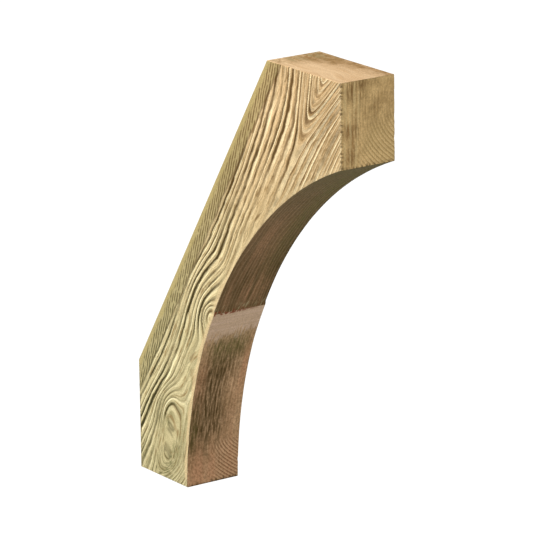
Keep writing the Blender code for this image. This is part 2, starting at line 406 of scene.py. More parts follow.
@dataclass(frozen=True)
class RingField:
    """How deep in the log each point of a side face lies, and so where its rings run.

    The heart runs lengthwise under the face. Rings sweep towards the back near the top, draw
    together into nested vees at the nose, close round a calm eye above the foot and bend round
    the knots.
    """

    outline: Outline
    heart: float = 0.208
    heart_softness: float = 0.014
    far_steepness: float = 1.25
    sweep_start: float = 0.53
    sweep_rise: float = 0.062
    vee_start: float = 0.975
    vee_softness: float = 0.022
    vee_lean: float = 0.04
    vee_rise: float = 0.74
    vee_point: float = 0.12
    vee_place: float = 0.194
    vee_breadth: float = 0.027
    vee_widening: float = 0.20
    vee_slip: float = -0.03
    eye: Patch = Patch(-0.058, 0.208, 0.086, 0.058, 0.240)
    eye_flatness: float = 2.9
    # The eye is bent out of a true oval: how far, then how often and from where each way
    eye_skew: float = 0.28
    eye_bends: tuple[tuple[float, float], ...] = ((2.2, 0.8), (1.9, 0.3))
    knots: tuple[Patch, ...] = (
        Patch(0.322, 0.160, 0.030, 0.019, 0.043),
        Patch(0.345, 0.120, 0.085, 0.050, 0.024),
        Patch(0.480, 0.130, 0.060, 0.042, -0.016),
        Patch(0.245, 0.175, 0.040, 0.036, -0.016),
        Patch(0.110, 0.100, 0.090, 0.060, -0.010),
    )
    # A ring near the heart is this wide, and near the slant it is narrower by the squeeze
    ring_width: float = 0.0226
    ring_squeeze: float = 0.0177
    squeeze_reach: float = 0.110
    # Some rings are wider than others: how far a ring shifts, and how often that comes round
    uneven: tuple[tuple[float, float], ...] = ((0.14, 1.9), (0.05, 4.7))
    uneven_start: float = 1.0
    bark: float = 0.0005

    def depth(self, along: np.ndarray, deep: np.ndarray) -> np.ndarray:
        """Give the depth into the log.

        Args:
            along: Places up the slant.
            deep: Places inward from it.

        Returns:
            The depth at each, in metres.
        """
        past = ramp_up(along - self.vee_start, self.vee_softness)
        off_heart = deep - (self.heart - self.vee_lean * past)
        away = np.hypot(off_heart, self.heart_softness) - self.heart_softness
        depth = self.heart - np.where(off_heart > 0, self.far_steepness * away, away)
        swept = along / self.outline.slant_length - self.sweep_start
        swept = np.maximum(swept, 0) / (1 - self.sweep_start)
        across = np.clip(deep / self.heart, 0, 1)
        depth = depth + self.sweep_rise * swept**2 * (1 - across)
        breadth = self.vee_breadth + self.vee_widening * past
        off_vee = (deep - self.vee_place - self.vee_slip * past) / breadth
        depth = depth + self.vee_rise * past * tent(off_vee, self.vee_point)
        for knot in self.knots:
            depth = depth + knot.at(along, deep)
        off_along = (along - self.eye.first) / self.eye.first_half
        off_deep = (deep - self.eye.second) / self.eye.second_half
        (often_along, from_along), (often_deep, from_deep) = self.eye_bends
        off_along = off_along + self.eye_skew * np.sin(often_along * off_deep + from_along)
        off_deep = off_deep + self.eye_skew * np.sin(often_deep * off_along + from_deep)
        calm = np.exp2(-np.hypot(off_along, off_deep) ** self.eye_flatness)
        return depth + (self.eye.amount - depth) * calm

    def count(self, along: np.ndarray, deep: np.ndarray) -> np.ndarray:
        """Count the rings between the bark and some places.

        Args:
            along: Places up the slant.
            deep: Places inward from it.

        Returns:
            The ring number at each, with its fraction.
        """
        depth = np.maximum(self.depth(along, deep), self.bark)
        grown = self.ring_width * np.exp(depth / self.squeeze_reach) - self.ring_squeeze
        start = self.ring_width - self.ring_squeeze
        number = self.squeeze_reach / self.ring_width * np.log(grown / start)
        shift = sum(far * np.sin(often * number + self.uneven_start) for far, often in self.uneven)
        return number + shift


@dataclass(frozen=True)
class EndRings:
    """Rings about a pith beyond the far edge of the nose or of the front."""

    pith_y: float
    pith_z: float
    ring_width: float
    wobble: float = 0.004
    wobble_turns: float = 5.0

    def count(self, y: np.ndarray, z: np.ndarray) -> np.ndarray:
        """Count the rings from the pith to some places.

        Args:
            y: Places across the width.
            z: Their heights.

        Returns:
            The ring number at each, with its fraction.
        """
        radius = np.hypot(y - self.pith_y, z - self.pith_z)
        angle = np.arctan2(z - self.pith_z, y - self.pith_y)
        return (radius + self.wobble * np.sin(self.wobble_turns * angle)) / self.ring_width


@dataclass
class Skin:
    """Points and faces of the casting's surface, before its grain is raised.

    Fields with one row for each point: along, deep, y, the margin left to the outer edge, and
    the two directions into the foam.
    """

    along: np.ndarray
    deep: np.ndarray
    y: np.ndarray
    margin: np.ndarray
    into_side: np.ndarray
    into_strip: np.ndarray
    faces: list[tuple[int, ...]]
    face_kinds: np.ndarray


@dataclass
class SkinLoft:
    """Lofts the skin from cuts square to the slant, each a closed ring of points."""

    outline: Outline
    near_rows: int = 150
    far_rows: int = 32
    across_rows: int = 42
    # Cuts lie closer together below the slant and towards the nose
    column_step: float = 0.0072
    fine_step: float = 0.0037
    foot_fine_end: float = 0.001
    nose_fine_start: float = 0.92
    # Rows on a rounded edge: how far in from the edge, and how far sunk, as shares of its radius
    edge_shares: tuple[float, ...] = (0.293, 0.5, 0.741, 1.0)
    edge_sinks: tuple[float, ...] = (0.293, 0.134, 0.034, 0.0)
    edge_most: float = 0.25
    corner_offsets: tuple[float, ...] = (0.0006, 0.0014, 0.0024)
    lip_zone: float = 0.014
    lip_step: float = 0.0022

    def columns(self, start: float, end: float) -> np.ndarray:
        """Choose the places of the cuts, closest at the corners, the lip and the nose.

        Args:
            start: Where the outline starts, along the slant.
            end: Where it ends.

        Returns:
            Places along the slant, in rising order.
        """
        out = self.outline
        corners = [start, out.foot_along, 0.0, out.nose_along, out.slant_length, end]
        lip_z = out.foot_z + out.lip_height
        lip = float(out.place(out.arch_x(np.array(lip_z)), np.array(lip_z))[0])
        kept = set(corners)
        for corner in corners:
            for offset in self.corner_offsets:
                kept |= {corner - offset, corner + offset}
        kept |= set(np.arange(lip - self.lip_zone, lip + self.lip_zone, self.lip_step))
        places = sorted(p for p in kept if start <= p <= end)
        filled = [places[0]]
        for place in places[1:]:
            gap = place - filled[-1]
            fine = place < self.foot_fine_end or place > self.nose_fine_start
            steps = max(1, round(gap / (self.fine_step if fine else self.column_step)))
            filled += [filled[-1] + gap * (i + 1) / steps for i in range(steps)]
        return np.array(filled)

    def spread(self, count: int, length: np.ndarray, low: np.ndarray, high: np.ndarray) -> np.ndarray:
        """Spread rows over a length, with the edges' own rows at both ends.

        Args:
            count: Gaps between rows.
            length: The length at each column.
            low: Reach of the low edge's rounding at each column.
            high: The same for the high edge.

        Returns:
            One line of places for each column.
        """
        shares = np.array(self.edge_shares)
        near = low[:, None] * shares
        far = (length - high)[:, None] + high[:, None] * (1 - shares[::-1])
        inner = np.linspace(0, 1, count + 3 - 2 * len(shares))[1:-1]
        middle = near[:, -1:] + (far[:, :1] - near[:, -1:]) * inner
        return np.concatenate([near, middle, far], axis=1)

    def sinks(self, count: int, radius: float) -> np.ndarray:
        """Give how far each row sinks where an edge is rounded.

        Args:
            count: Gaps between rows.
            radius: The edge's radius.

        Returns:
            One length for each row.
        """
        sunk = np.zeros(count + 1)
        sunk[: len(self.edge_sinks)] = self.edge_sinks
        sunk[-len(self.edge_sinks) :] = self.edge_sinks[::-1]
        return sunk * radius

    def build(self) -> Skin:
        """Make the skin from the outline's two chains.

        Returns:
            The skin.
        """
        out = self.outline
        outer, inner = out.chains()
        s = self.columns(outer[0, 0], outer[-1, 0])
        high = np.interp(s, outer[:, 0], outer[:, 1])
        low = np.interp(s, inner[:, 0], inner[:, 1])
        high_slope = np.gradient(high, s)
        low_slope = np.gradient(low, s)
        length = high - low
        radius = out.edge_round
        low_reach = np.minimum(radius * np.hypot(1, low_slope), length * self.edge_most)
        high_reach = np.minimum(radius * np.hypot(1, high_slope), length * self.edge_most)

        near = low[:, None] + self.spread(self.near_rows, length, low_reach, high_reach)
        far = low[:, None] + self.spread(self.far_rows, length, low_reach, high_reach)
        half = np.full_like(s, out.width / 2)
        edge = np.full_like(s, radius)
        across = self.spread(self.across_rows, 2 * half, edge, edge) - half[:, None]
        near_y = np.tile(-out.width / 2 + self.sinks(self.near_rows, radius), (len(s), 1))
        far_y = np.tile(out.width / 2 - self.sinks(self.far_rows, radius), (len(s), 1))
        sunk = self.sinks(self.across_rows, 1.0)
        outer_deep = high[:, None] - high_reach[:, None] * sunk
        inner_deep = low[:, None] + low_reach[:, None] * sunk

        deep = np.concatenate([
            near, outer_deep[:, 1:-1], far[:, ::-1], inner_deep[:, 1:-1][:, ::-1]
        ], axis=1)
        y = np.concatenate([
            near_y, across[:, 1:-1], far_y[:, ::-1], across[:, 1:-1][:, ::-1]
        ], axis=1)
        along = np.repeat(s[:, None], deep.shape[1], axis=1)
        margin = high[:, None] - deep
        side, strip = self.directions(low_slope, high_slope, deep.shape)
        return self.close([along, deep, y, margin, side, strip], s)

    def directions(self, low_slope: np.ndarray, high_slope: np.ndarray, shape: tuple) -> tuple:
        """Work out the directions into the foam at every point of every cut.

        Args:
            low_slope: Slope of the inner chain at each cut.
            high_slope: Slope of the outer chain at each cut.
            shape: Cuts and points in a cut.

        Returns:
            Directions square to the sides, and square to the strips between them.
        """
        out = self.outline
        side = np.zeros((*shape, 3))
        near_end = self.near_rows + 1
        far_start = near_end + self.across_rows - 1
        far_end = far_start + self.far_rows + 1
        side[:, :near_end, 1] = 1.0
        side[:, far_start:far_end, 1] = -1.0
        strip = np.zeros((*shape, 3))
        outward = np.stack([high_slope, -np.ones_like(high_slope)], -1)
        inward = np.stack([-low_slope, np.ones_like(low_slope)], -1)
        for vectors, points in (
            (outward, slice(near_end - 1, far_start + 1)),
            (inward, [0, *range(far_end - 1, shape[1])]),
        ):
            vectors = vectors / np.linalg.norm(vectors, axis=1, keepdims=True)
            flat = vectors[:, :1] * out.up_slant + vectors[:, 1:] * out.inward
            strip[:, points, 0] = flat[:, :1]
            strip[:, points, 2] = flat[:, 1:]
        return side, strip

    def close(self, values: list[np.ndarray], s: np.ndarray) -> Skin:
        """Join the cuts into a closed skin, whose first and last cut shrink to a line.

        Args:
            values: The skin's fields in order, each with a row of points for every cut.
            s: Place of each cut.

        Returns:
            The skin.
        """
        cuts, points = values[0].shape[:2]
        near_end, across = self.near_rows, self.across_rows
        ring = np.arange(points)
        across_at = np.zeros(points, int)
        across_at[near_end : near_end + across + 1] = np.arange(across + 1)
        across_at[near_end + across : near_end + across + self.far_rows + 1] = across
        last = near_end + across + self.far_rows
        across_at[last:] = across - (ring[last:] - last)
        line = near_end + np.arange(across + 1)

        index = np.zeros((cuts, points), int)
        index[0] = across_at
        index[1:-1] = (across + 1) + np.arange((cuts - 2) * points).reshape(cuts - 2, points)
        index[-1] = across + 1 + (cuts - 2) * points + across_at

        def gather(values: np.ndarray) -> np.ndarray:
            """List a value for each point, the two end lines first and last."""
            shape = values.shape[2:]
            return np.concatenate([
                values[0, line], values[1:-1].reshape(-1, *shape), values[-1, line]
            ])

        a, b = index[:-1], index[1:]
        quads = np.stack([a, np.roll(a, -1, 1), np.roll(b, -1, 1), b], -1)
        kinds = self.kinds(s, points)
        faces, face_kinds = [], []
        for column in range(cuts - 1):
            for quad, kind in zip(quads[column].tolist(), kinds[column].tolist()):
                corners = tuple(dict.fromkeys(quad)) if column in (0, cuts - 2) else tuple(quad)
                if len(corners) > 2:
                    faces.append(corners)
                    face_kinds.append(kind)
        return Skin(*[gather(each) for each in values], faces, np.array(face_kinds))

    def kinds(self, s: np.ndarray, points: int) -> np.ndarray:
        """Say which of the casting's faces each mesh face belongs to.

        Args:
            s: Place of each cut.
            points: How many points a cut has.

        Returns:
            Face numbers, one row for each gap between cuts.
        """
        out = self.outline
        middle = ((s[:-1] + s[1:]) / 2)[:, None]
        before_nose = np.where(middle < out.nose_along, Face.ARCH, Face.NOSE)
        outer = np.where(middle < out.foot_along, Face.FOOT, before_nose)
        high = np.where(middle < out.slant_length, Face.BACK, Face.SOFFIT)
        inner = np.where(middle < 0, Face.WALL, high)
        ring = np.arange(points)[None]
        near, across, far = self.near_rows, self.across_rows, self.far_rows
        kinds = np.where(ring < near, Face.NEAR, outer)
        kinds = np.where(ring >= near + across, Face.FAR, kinds)
        return np.where(ring >= near + across + far, inner, kinds)


@dataclass
class Grain:
    """Where the grain of each face runs and how strong it is, as shares of the full strength."""

    outline: Outline
    rings: RingField
    # Where rings lie closer than this, their grooves would break up between the mesh's rows
    finest_ring: float = 0.0082
    probe: float = 0.001
    # How strong the sides' grain is away from the patches below, and at most on each side
    even: float = 0.62
    strongest: float = 1.2
    far_strongest: float = 0.6
    far_ring_share: float = 0.62
    # A strip beside the slant is nearly plain, up to where the grain sets in
    plain_share: float = 0.12
    plain_end: tuple[float, float] = (0.038, 0.052)
    # One ring is stronger than the next: by how much, how often and from where
    change: float = 0.20
    change_often: float = 2.4
    change_start: float = 1.0
    # Lines on the arch, the back and the soffit face: how far apart, and how strong
    sway: tuple[Wave, ...] = (Wave(0.006, 7, 0, 1), Wave(0.003, 23, 55), Wave(0.003, 4, 90))
    arch_line: float = 0.0105
    arch_strength: float = 0.16
    back_line: float = 0.0125
    back_strength: float = 0.62
    soffit_line: float = 0.0180
    soffit_strength: float = 0.10
    soffit_sway: float = 2.0
    # End rings low on the front, in place of the arch's lines up to where they end. Pairs are
    # where they start to show and where they are full, up the front and across it, then their
    # least strength and what is added where they are full
    foot_pith_beyond: float = 0.052
    foot_pith_height: float = 0.140
    foot_ring: float = 0.0076
    foot_rings_end: float = 0.1534
    foot_up: tuple[float, float] = (0.118, 0.088)
    foot_across: tuple[float, float] = (-0.02, 0.03)
    foot_strengths: tuple[float, float] = (0.05, 0.65)
    # End rings on the nose, in the same way. Their upper end tilts across the nose
    nose_pith_beyond: float = 0.106
    nose_pith_drop: float = 0.055
    nose_ring: float = 0.0086
    nose_tilt: float = 0.5
    nose_down: tuple[float, float] = (0.083, 0.183)
    nose_across: tuple[float, float] = (-0.045, 0.015)
    nose_strengths: tuple[float, float] = (0.14, 0.56)
    # Where the sides' grooves are deepest and their wash with its painted shade is darkest, and their
    # painted highlight brightest
    strong: tuple[Patch, ...] = (
        Patch(0.440, 0.112, 0.090, 0.030, 0.75),
        Patch(0.590, 0.095, 0.090, 0.040, 0.45),
        Patch(-0.080, 0.090, 0.090, 0.022, 0.60),
        Patch(0.030, 0.108, 0.090, 0.020, 0.45),
        Patch(0.315, 0.145, 0.050, 0.024, 0.85),
        Patch(0.280, 0.075, 0.110, 0.028, 0.40),
        Patch(0.850, 0.095, 0.120, 0.030, 0.45),
        Patch(1.000, 0.055, 0.090, 0.020, 0.70),
        Patch(1.010, 0.160, 0.080, 0.050, 0.40),
        Patch(0.860, 0.110, 0.160, 0.050, 0.30),
        Patch(0.980, 0.270, 0.130, 0.060, 0.45),
        Patch(1.060, 0.130, 0.050, 0.060, 0.40),
        Patch(-0.090, 0.160, 0.070, 0.012, 0.60),
        Patch(0.008, 0.168, 0.045, 0.022, 0.80),
        Patch(1.050, 0.180, 0.060, 0.040, 0.50),
        Patch(-0.040, 0.147, 0.050, 0.008, 0.80),
        Patch(-0.060, 0.262, 0.060, 0.018, 0.50),
        Patch(0.720, 0.040, 0.090, 0.030, 0.40),
        Patch(1.100, 0.220, 0.060, 0.050, 0.50),
        Patch(1.020, 0.250, 0.070, 0.040, 0.45),
    )
    # Where the face is nearly plain
    calm: tuple[Patch, ...] = (
        Patch(-0.050, 0.205, 0.060, 0.034, 0.95),
        Patch(-0.115, 0.215, 0.045, 0.045, 0.90),
        Patch(-0.030, 0.246, 0.040, 0.014, 0.80),
        Patch(-0.100, 0.170, 0.026, 0.014, 0.70),
        Patch(0.318, 0.184, 0.036, 0.013, 0.85),
        Patch(0.120, 0.170, 0.090, 0.034, 0.60),
        Patch(0.230, 0.165, 0.050, 0.030, 0.50),
        Patch(0.420, 0.165, 0.060, 0.018, 0.60),
        Patch(0.620, 0.165, 0.110, 0.026, 0.55),
        Patch(0.850, 0.205, 0.110, 0.040, 0.45),
    )

    def side(self, skin: Skin) -> tuple[np.ndarray, np.ndarray, np.ndarray]:
        """Work out the grain on both sides.

        Args:
            skin: The skin.

        Returns:
            Ring numbers, the grain's strength for the wash with its painted shade and highlight, and
            how deep it is cut, which is less where the rings lie too close for the mesh.
        """
        rings = self.rings.count(skin.along, skin.deep)
        up = self.rings.count(skin.along + self.probe, skin.deep) - rings
        inward = self.rings.count(skin.along, skin.deep + self.probe) - rings
        spacing = self.probe / np.maximum(np.hypot(up, inward), 1e-6)
        resolved = fade_in(spacing, self.finest_ring, 2 * self.finest_ring)
        strength = self.even + sum(patch.at(skin.along, skin.deep) for patch in self.strong)
        for patch in self.calm:
            strength = strength * (1 - patch.at(skin.along, skin.deep))
        set_in = fade_in(skin.deep, *self.plain_end)
        strength = strength * (self.plain_share + (1 - self.plain_share) * set_in)
        strength = np.clip(strength, 0, self.strongest)
        beat = np.sin(self.change_often * rings + self.change_start)
        strength = strength * (1 - self.change + self.change * beat)
        far = skin.y > 0
        rings = np.where(far, rings * self.far_ring_share, rings)
        strength = np.where(far, np.minimum(strength, self.far_strongest), strength)
        return rings, strength, strength * resolved

    def strip(self, skin: Skin, z: np.ndarray) -> tuple[np.ndarray, np.ndarray]:
        """Work out the grain on the faces between the sides.

        Args:
            skin: The skin.
            z: Each point's height.

        Returns:
            Ring or line numbers, and the grain's strength.
        """
        out = self.outline
        y, up, below = skin.y, z - out.foot_z, out.top_z - z
        outer = skin.into_strip[:, [0, 2]] @ out.inward < 0
        inner = ~outer
        sway = sum(wave.at(skin.along, y) for wave in self.sway)
        lines = (y + sway) / self.arch_line
        strength = np.full_like(y, self.arch_strength)

        foot = EndRings(
            out.width / 2 + self.foot_pith_beyond, out.foot_z + self.foot_pith_height, self.foot_ring
        )
        on_foot = up < self.foot_rings_end
        shown = fade_in(up, *self.foot_up) * fade_in(y, *self.foot_across)
        least, added = self.foot_strengths
        lines = np.where(on_foot, foot.count(y, z), lines)
        strength = np.where(on_foot, least + added * shown, strength)

        nose = EndRings(
            out.width / 2 + self.nose_pith_beyond, out.top_z - self.nose_pith_drop, self.nose_ring
        )
        on_nose = outer & (skin.along > out.nose_along)
        shown = fade_in(below + self.nose_tilt * y, *self.nose_down) * fade_in(y, *self.nose_across)
        least, added = self.nose_strengths
        lines = np.where(on_nose, nose.count(y, z), lines)
        strength = np.where(on_nose, least + added * shown, strength)

        back = inner & (skin.along > 0) & (skin.along < out.slant_length)
        lines = np.where(back, (y + sway) / self.back_line, lines)
        strength = np.where(back, self.back_strength, strength)
        soffit = inner & (skin.along >= out.slant_length)
        lines = np.where(soffit, (y + self.soffit_sway * sway) / self.soffit_line, lines)
        strength = np.where(soffit, self.soffit_strength, strength)
        flat = (inner & (skin.along <= 0)) | (outer & (skin.along <= out.foot_along))
        return lines, np.where(flat, 0.0, strength)


@dataclass(frozen=True)
class Stains:
    """Where each stain lies on the faces: shares from 0 to 1, kept as attributes of the skin.

    Places on the arch and the front are (width, height above the foot), on the nose (width,
    depth below the soffit face), on the soffit face (width, distance from the slant's top) and
    on a side (along, deep). Width runs from -0.076 at the near side to +0.076 at the far side.
    """

    outline: Outline
    arch_dark: tuple[Patch, ...] = (
        Patch(-0.030, 0.300, 0.024, 0.075, 0.66),
        Patch(0.020, 0.330, 0.026, 0.045, 0.75),
        Patch(-0.054, 0.182, 0.031, 0.078, 1.10),
        Patch(-0.072, 0.140, 0.020, 0.036, 0.80),
        Patch(-0.005, 0.190, 0.020, 0.070, 0.60),
        Patch(0.025, 0.150, 0.022, 0.040, 0.40),
        Patch(0.000, 0.560, 0.120, 0.060, 0.55),
        Patch(0.060, 0.640, 0.012, 0.160, 0.60),
    )
    arch_green: tuple[Patch, ...] = (
        Patch(0.000, 0.960, 0.200, 0.090, 1.00),
        Patch(0.045, 0.760, 0.025, 0.130, 0.70),
        Patch(0.025, 0.370, 0.032, 0.028, 0.80),
        Patch(-0.035, 0.370, 0.022, 0.024, 0.60),
        Patch(-0.062, 0.140, 0.008, 0.050, 0.45),
    )
    arch_red: tuple[Patch, ...] = (
        Patch(0.000, 0.030, 0.200, 0.050, 0.75),
        Patch(0.066, 0.300, 0.007, 0.050, 0.85),
        Patch(0.050, 0.180, 0.030, 0.090, 0.22),
        Patch(-0.060, 0.270, 0.010, 0.060, 0.65),
        Patch(-0.020, 0.660, 0.040, 0.090, 0.28),
        Patch(0.020, 0.520, 0.060, 0.030, 0.45),
    )
    nose_dark: tuple[Patch, ...] = (
        Patch(-0.050, 0.012, 0.012, 0.014, 0.90),
        Patch(-0.022, 0.016, 0.007, 0.016, 0.85),
        Patch(-0.045, 0.034, 0.014, 0.010, 0.45),
        Patch(0.000, 0.006, 0.014, 0.006, 0.50),
        Patch(-0.042, 0.110, 0.016, 0.016, 0.65),
        Patch(-0.050, 0.175, 0.014, 0.028, 0.55),
        Patch(0.030, 0.070, 0.060, 0.030, 0.35),
    )
    nose_red: tuple[Patch, ...] = (
        Patch(-0.045, 0.115, 0.018, 0.026, 0.50),
        Patch(-0.048, 0.170, 0.018, 0.030, 0.45),
        Patch(-0.050, 0.075, 0.010, 0.010, 0.60),
        Patch(0.045, 0.030, 0.030, 0.030, 0.20),
    )
    top_dark: tuple[Patch, ...] = (
        Patch(0.064, 0.120, 0.022, 0.140, 0.95),
        Patch(0.035, 0.075, 0.022, 0.050, 0.70),
        Patch(0.000, 0.040, 0.030, 0.030, 0.55),
        Patch(0.070, 0.270, 0.012, 0.030, 0.50),
    )
    top_green: tuple[Patch, ...] = (
        Patch(-0.010, 0.020, 0.060, 0.026, 0.75),
        Patch(0.055, 0.040, 0.026, 0.050, 0.60),
    )
    side_dark: tuple[Patch, ...] = (
        Patch(0.860, 0.095, 0.022, 0.010, 0.60),
        Patch(0.800, 0.105, 0.018, 0.009, 0.55),
        Patch(0.905, 0.150, 0.030, 0.012, 0.45),
        Patch(0.700, 0.220, 0.060, 0.024, 0.45),
        Patch(0.860, 0.240, 0.090, 0.040, 0.50),
        Patch(0.980, 0.290, 0.080, 0.040, 0.60),
        Patch(1.080, 0.200, 0.060, 0.060, 0.55),
        Patch(0.620, 0.150, 0.080, 0.016, 0.35),
    )
    side_green: tuple[Patch, ...] = (
        Patch(0.720, 0.030, 0.080, 0.022, 0.85),
        Patch(-0.030, 0.170, 0.040, 0.016, 0.55),
        Patch(-0.085, 0.245, 0.060, 0.014, 0.75),
        Patch(0.010, 0.235, 0.020, 0.012, 0.45),
        Patch(0.060, 0.205, 0.014, 0.010, 0.45),
        Patch(-0.190, 0.140, 0.030, 0.030, 0.45),
        Patch(0.560, 0.080, 0.060, 0.016, 0.40),
        Patch(-0.150, 0.255, 0.060, 0.040, 0.50),
        Patch(-0.190, 0.190, 0.040, 0.050, 0.35),
        Patch(-0.060, 0.130, 0.100, 0.030, 0.30),
    )

    def on(self, skin: Skin, x: np.ndarray, z: np.ndarray) -> dict[str, np.ndarray]:
        """Give the stains' shares for each point of each face.

        Args:
            skin: The skin.
            x: Each point's distance from the wall.
            z: Each point's height.

        Returns:
            Arrays by attribute name.
        """
        out = self.outline
        places = {
            "arch": (skin.y, z - out.foot_z),
            "nose": (skin.y, out.top_z - z),
            "top": (skin.y, x - out.slant_top[0]),
            "side": (skin.along, skin.deep),
        }
        shares = {}
        for stain in fields(self)[1:]:
            face = stain.name.split("_")[0]
            total = sum(patch.at(*places[face]) for patch in getattr(self, stain.name))
            shares[stain.name] = np.clip(total, 0, 1)
        return shares


@dataclass(frozen=True)
class Relief:
    """Depths of the grain, which a Geometry Nodes tree presses into the skin.

    Each field is an input of the tree, under the same name.
    """

    side_depth: float = 0.0032
    strip_depth: float = 0.0016
    # Of a ring's width, the rise out of one groove and the fall into the next
    rise_share: float = 0.36
    fall_share: float = 0.30
    fibre_depth: float = 0.0052
    fibre_length: float = 0.055
    fibre_detail: float = 1.5
    fibres_per_ring: float = 2.6
    # Fibre is rougher where the grain is cut deeper, and missing where it isn't cut
    rough_gain: float = 0.30
    rough_least: float = 0.04
    least_cut: float = 0.001
    seed: int = 7

    def inputs(self) -> dict[str, float | int]:
        """Give the values of the tree's inputs by name."""
        return {f.name.replace("_", " ").capitalize(): getattr(self, f.name) for f in fields(self)}

    def tree(self, finishes: dict[Face, bpy.types.Material]) -> Tree:
        """Build the tree that raises the grain and gives each face its finish.

        Args:
            finishes: The material of each face.

        Returns:
            The tree.
        """
        tree = bpy.data.node_groups.new("raise the grain", "GeometryNodeTree")
        tree.is_modifier = True
        sockets = tree.interface
        sockets.new_socket("Skin", in_out="INPUT", socket_type="NodeSocketGeometry")
        for name, value in self.inputs().items():
            kind = "Int" if isinstance(value, int) else "Float"
            sockets.new_socket(name, in_out="INPUT", socket_type=f"NodeSocket{kind}")
        sockets.new_socket("Casting", in_out="OUTPUT", socket_type="NodeSocketGeometry")
        given = {socket.name: socket for socket in tree.nodes.new("NodeGroupInput").outputs}
        shape = given["Skin"]
        for part in ("side", "strip"):
            offset = self.offset(tree, given, part)
            shape = put(tree, "GeometryNodeSetPosition", {"Geometry": shape, "Offset": offset})
        shape = put(tree, "GeometryNodeRealizeInstances", {"Geometry": shape})
        kind = put(tree, "GeometryNodeInputNamedAttribute", {"Name": "face_kind"}, data_type="INT")
        for face, finish in finishes.items():
            chosen = put(
                tree, "FunctionNodeCompare", {2: kind, 3: int(face)},
                data_type="INT", operation="EQUAL",
            )
            shape = put(
                tree, "GeometryNodeSetMaterial",
                {"Geometry": shape, "Selection": chosen, "Material": finish},
            )
        tree.links.new(shape, tree.nodes.new("NodeGroupOutput").inputs["Casting"])
        return tree

    def offset(self, tree: Tree, given: dict[str, Socket], part: str) -> Socket:
        """Work out how the grain moves the skin's points.

        Args:
            tree: The tree.
            given: The tree's inputs.
            part: Whose grain: side, or strip for the faces between the sides.

        Returns:
            The way that each point moves.
        """
        ring, cut, along = [
            put(tree, "GeometryNodeInputNamedAttribute", {"Name": name}, data_type="FLOAT")
            for name in (f"{part}_ring", f"{part}_cut", "along")
        ]
        into = put(
            tree, "GeometryNodeInputNamedAttribute", {"Name": f"into_{part}"},
            data_type="FLOAT_VECTOR",
        )
        groove = put(
            tree, "ShaderNodeMath", {0: self.dip(tree, given, ring), 1: cut}, operation="MULTIPLY"
        )
        groove = put(
            tree, "ShaderNodeMath", {0: groove, 1: given[f"{part.capitalize()} depth"]},
            operation="MULTIPLY",
        )
        rough = put(
            tree, "ShaderNodeMath", {0: cut, 1: given["Rough gain"], 2: given["Rough least"]},
            operation="MULTIPLY_ADD",
        )
        is_cut = put(
            tree, "ShaderNodeMath", {0: cut, 1: given["Least cut"]}, operation="GREATER_THAN"
        )
        rough = put(tree, "ShaderNodeMath", {0: rough, 1: is_cut}, operation="MULTIPLY")
        fibre = self.fibre(tree, given, along, ring)
        total = put(
            tree, "ShaderNodeMath", {0: fibre, 1: rough, 2: groove}, operation="MULTIPLY_ADD"
        )
        return put(tree, "ShaderNodeVectorMath", {0: into, "Scale": total}, operation="SCALE")

    def dip(self, tree: Tree, given: dict[str, Socket], ring: Socket) -> Socket:
        """Shape one ring: a rise out of the groove, a level crest, then a fall into the next.

        Args:
            tree: The tree.
            given: The tree's inputs.
            ring: The ring number.

        Returns:
            How far below the crest the surface lies, from 0 to 1.
        """
        part = put(tree, "ShaderNodeMath", {0: ring}, operation="FRACT")
        rise = put(
            tree, "ShaderNodeMapRange",
            {"Value": part, "From Max": given["Rise share"], "To Min": 1.0, "To Max": 0.0},
            interpolation_type="SMOOTHSTEP",
        )
        brink = put(tree, "ShaderNodeMath", {0: 1.0, 1: given["Fall share"]}, operation="SUBTRACT")
        fall = put(
            tree, "ShaderNodeMapRange", {"Value": part, "From Min": brink},
            interpolation_type="SMOOTHSTEP",
        )
        return put(tree, "ShaderNodeMath", {0: rise, 1: fall}, operation="ADD")

    def fibre(self, tree: Tree, given: dict[str, Socket], along: Socket, ring: Socket) -> Socket:
        """Make the fine fibre that runs with the rings.

        Args:
            tree: The tree.
            given: The tree's inputs.
            along: Place up the slant.
            ring: The ring number.

        Returns:
            The fibre's depth.
        """
        run = put(tree, "ShaderNodeMath", {0: along, 1: given["Fibre length"]}, operation="DIVIDE")
        lines = put(
            tree, "ShaderNodeMath", {0: ring, 1: given["Fibres per ring"]}, operation="MULTIPLY"
        )
        place = put(tree, "ShaderNodeCombineXYZ", {"X": run, "Y": lines, "Z": given["Seed"]})
        noise = put(
            tree, "ShaderNodeTexNoise",
            {"Vector": place, "Scale": 1.0, "Detail": given["Fibre detail"]},
        )
        return put(tree, "ShaderNodeMath", {0: noise, 1: given["Fibre depth"]}, operation="MULTIPLY")

    def press(self, piece: bpy.types.Object, finishes: dict[Face, bpy.types.Material]) -> None:
        """Run the tree on a piece and keep its result as the piece's plain mesh.

        Args:
            piece: The casting's skin.
            finishes: The material of each face.
        """
        tree = self.tree(finishes)
        modifier = piece.modifiers.new("grain", "NODES")
        modifier.node_group = tree
        values = self.inputs()
        for item in tree.interface.items_tree:
            if item.in_out == "INPUT" and item.name in values:
                modifier[item.identifier] = values[item.name]
        graph = bpy.context.evaluated_depsgraph_get()
        pressed = bpy.data.meshes.new_from_object(piece.evaluated_get(graph))
        piece.modifiers.remove(modifier)
        piece.data = pressed


@dataclass(frozen=True)
class Streaks:
    """Noise drawn out into streaks.

    Fields are a streak's length in millimetres, its width, the noise values where it starts to
    show and where it is full, what picks the pattern, how much finer noise is laid over it, and
    what the width is measured in.
    """

    length: float
    width: float
    start: float
    full: float
    seed: float
    detail: float = 2.0
    unit: float = MM


@dataclass(frozen=True)
class Cloud:
    """Noise in soft blotches.

    Fields are a blotch's size in millimetres, the noise values where it starts to show and where
    it is full, and how much finer noise is laid over it.
    """

    size: float
    start: float
    full: float
    detail: float


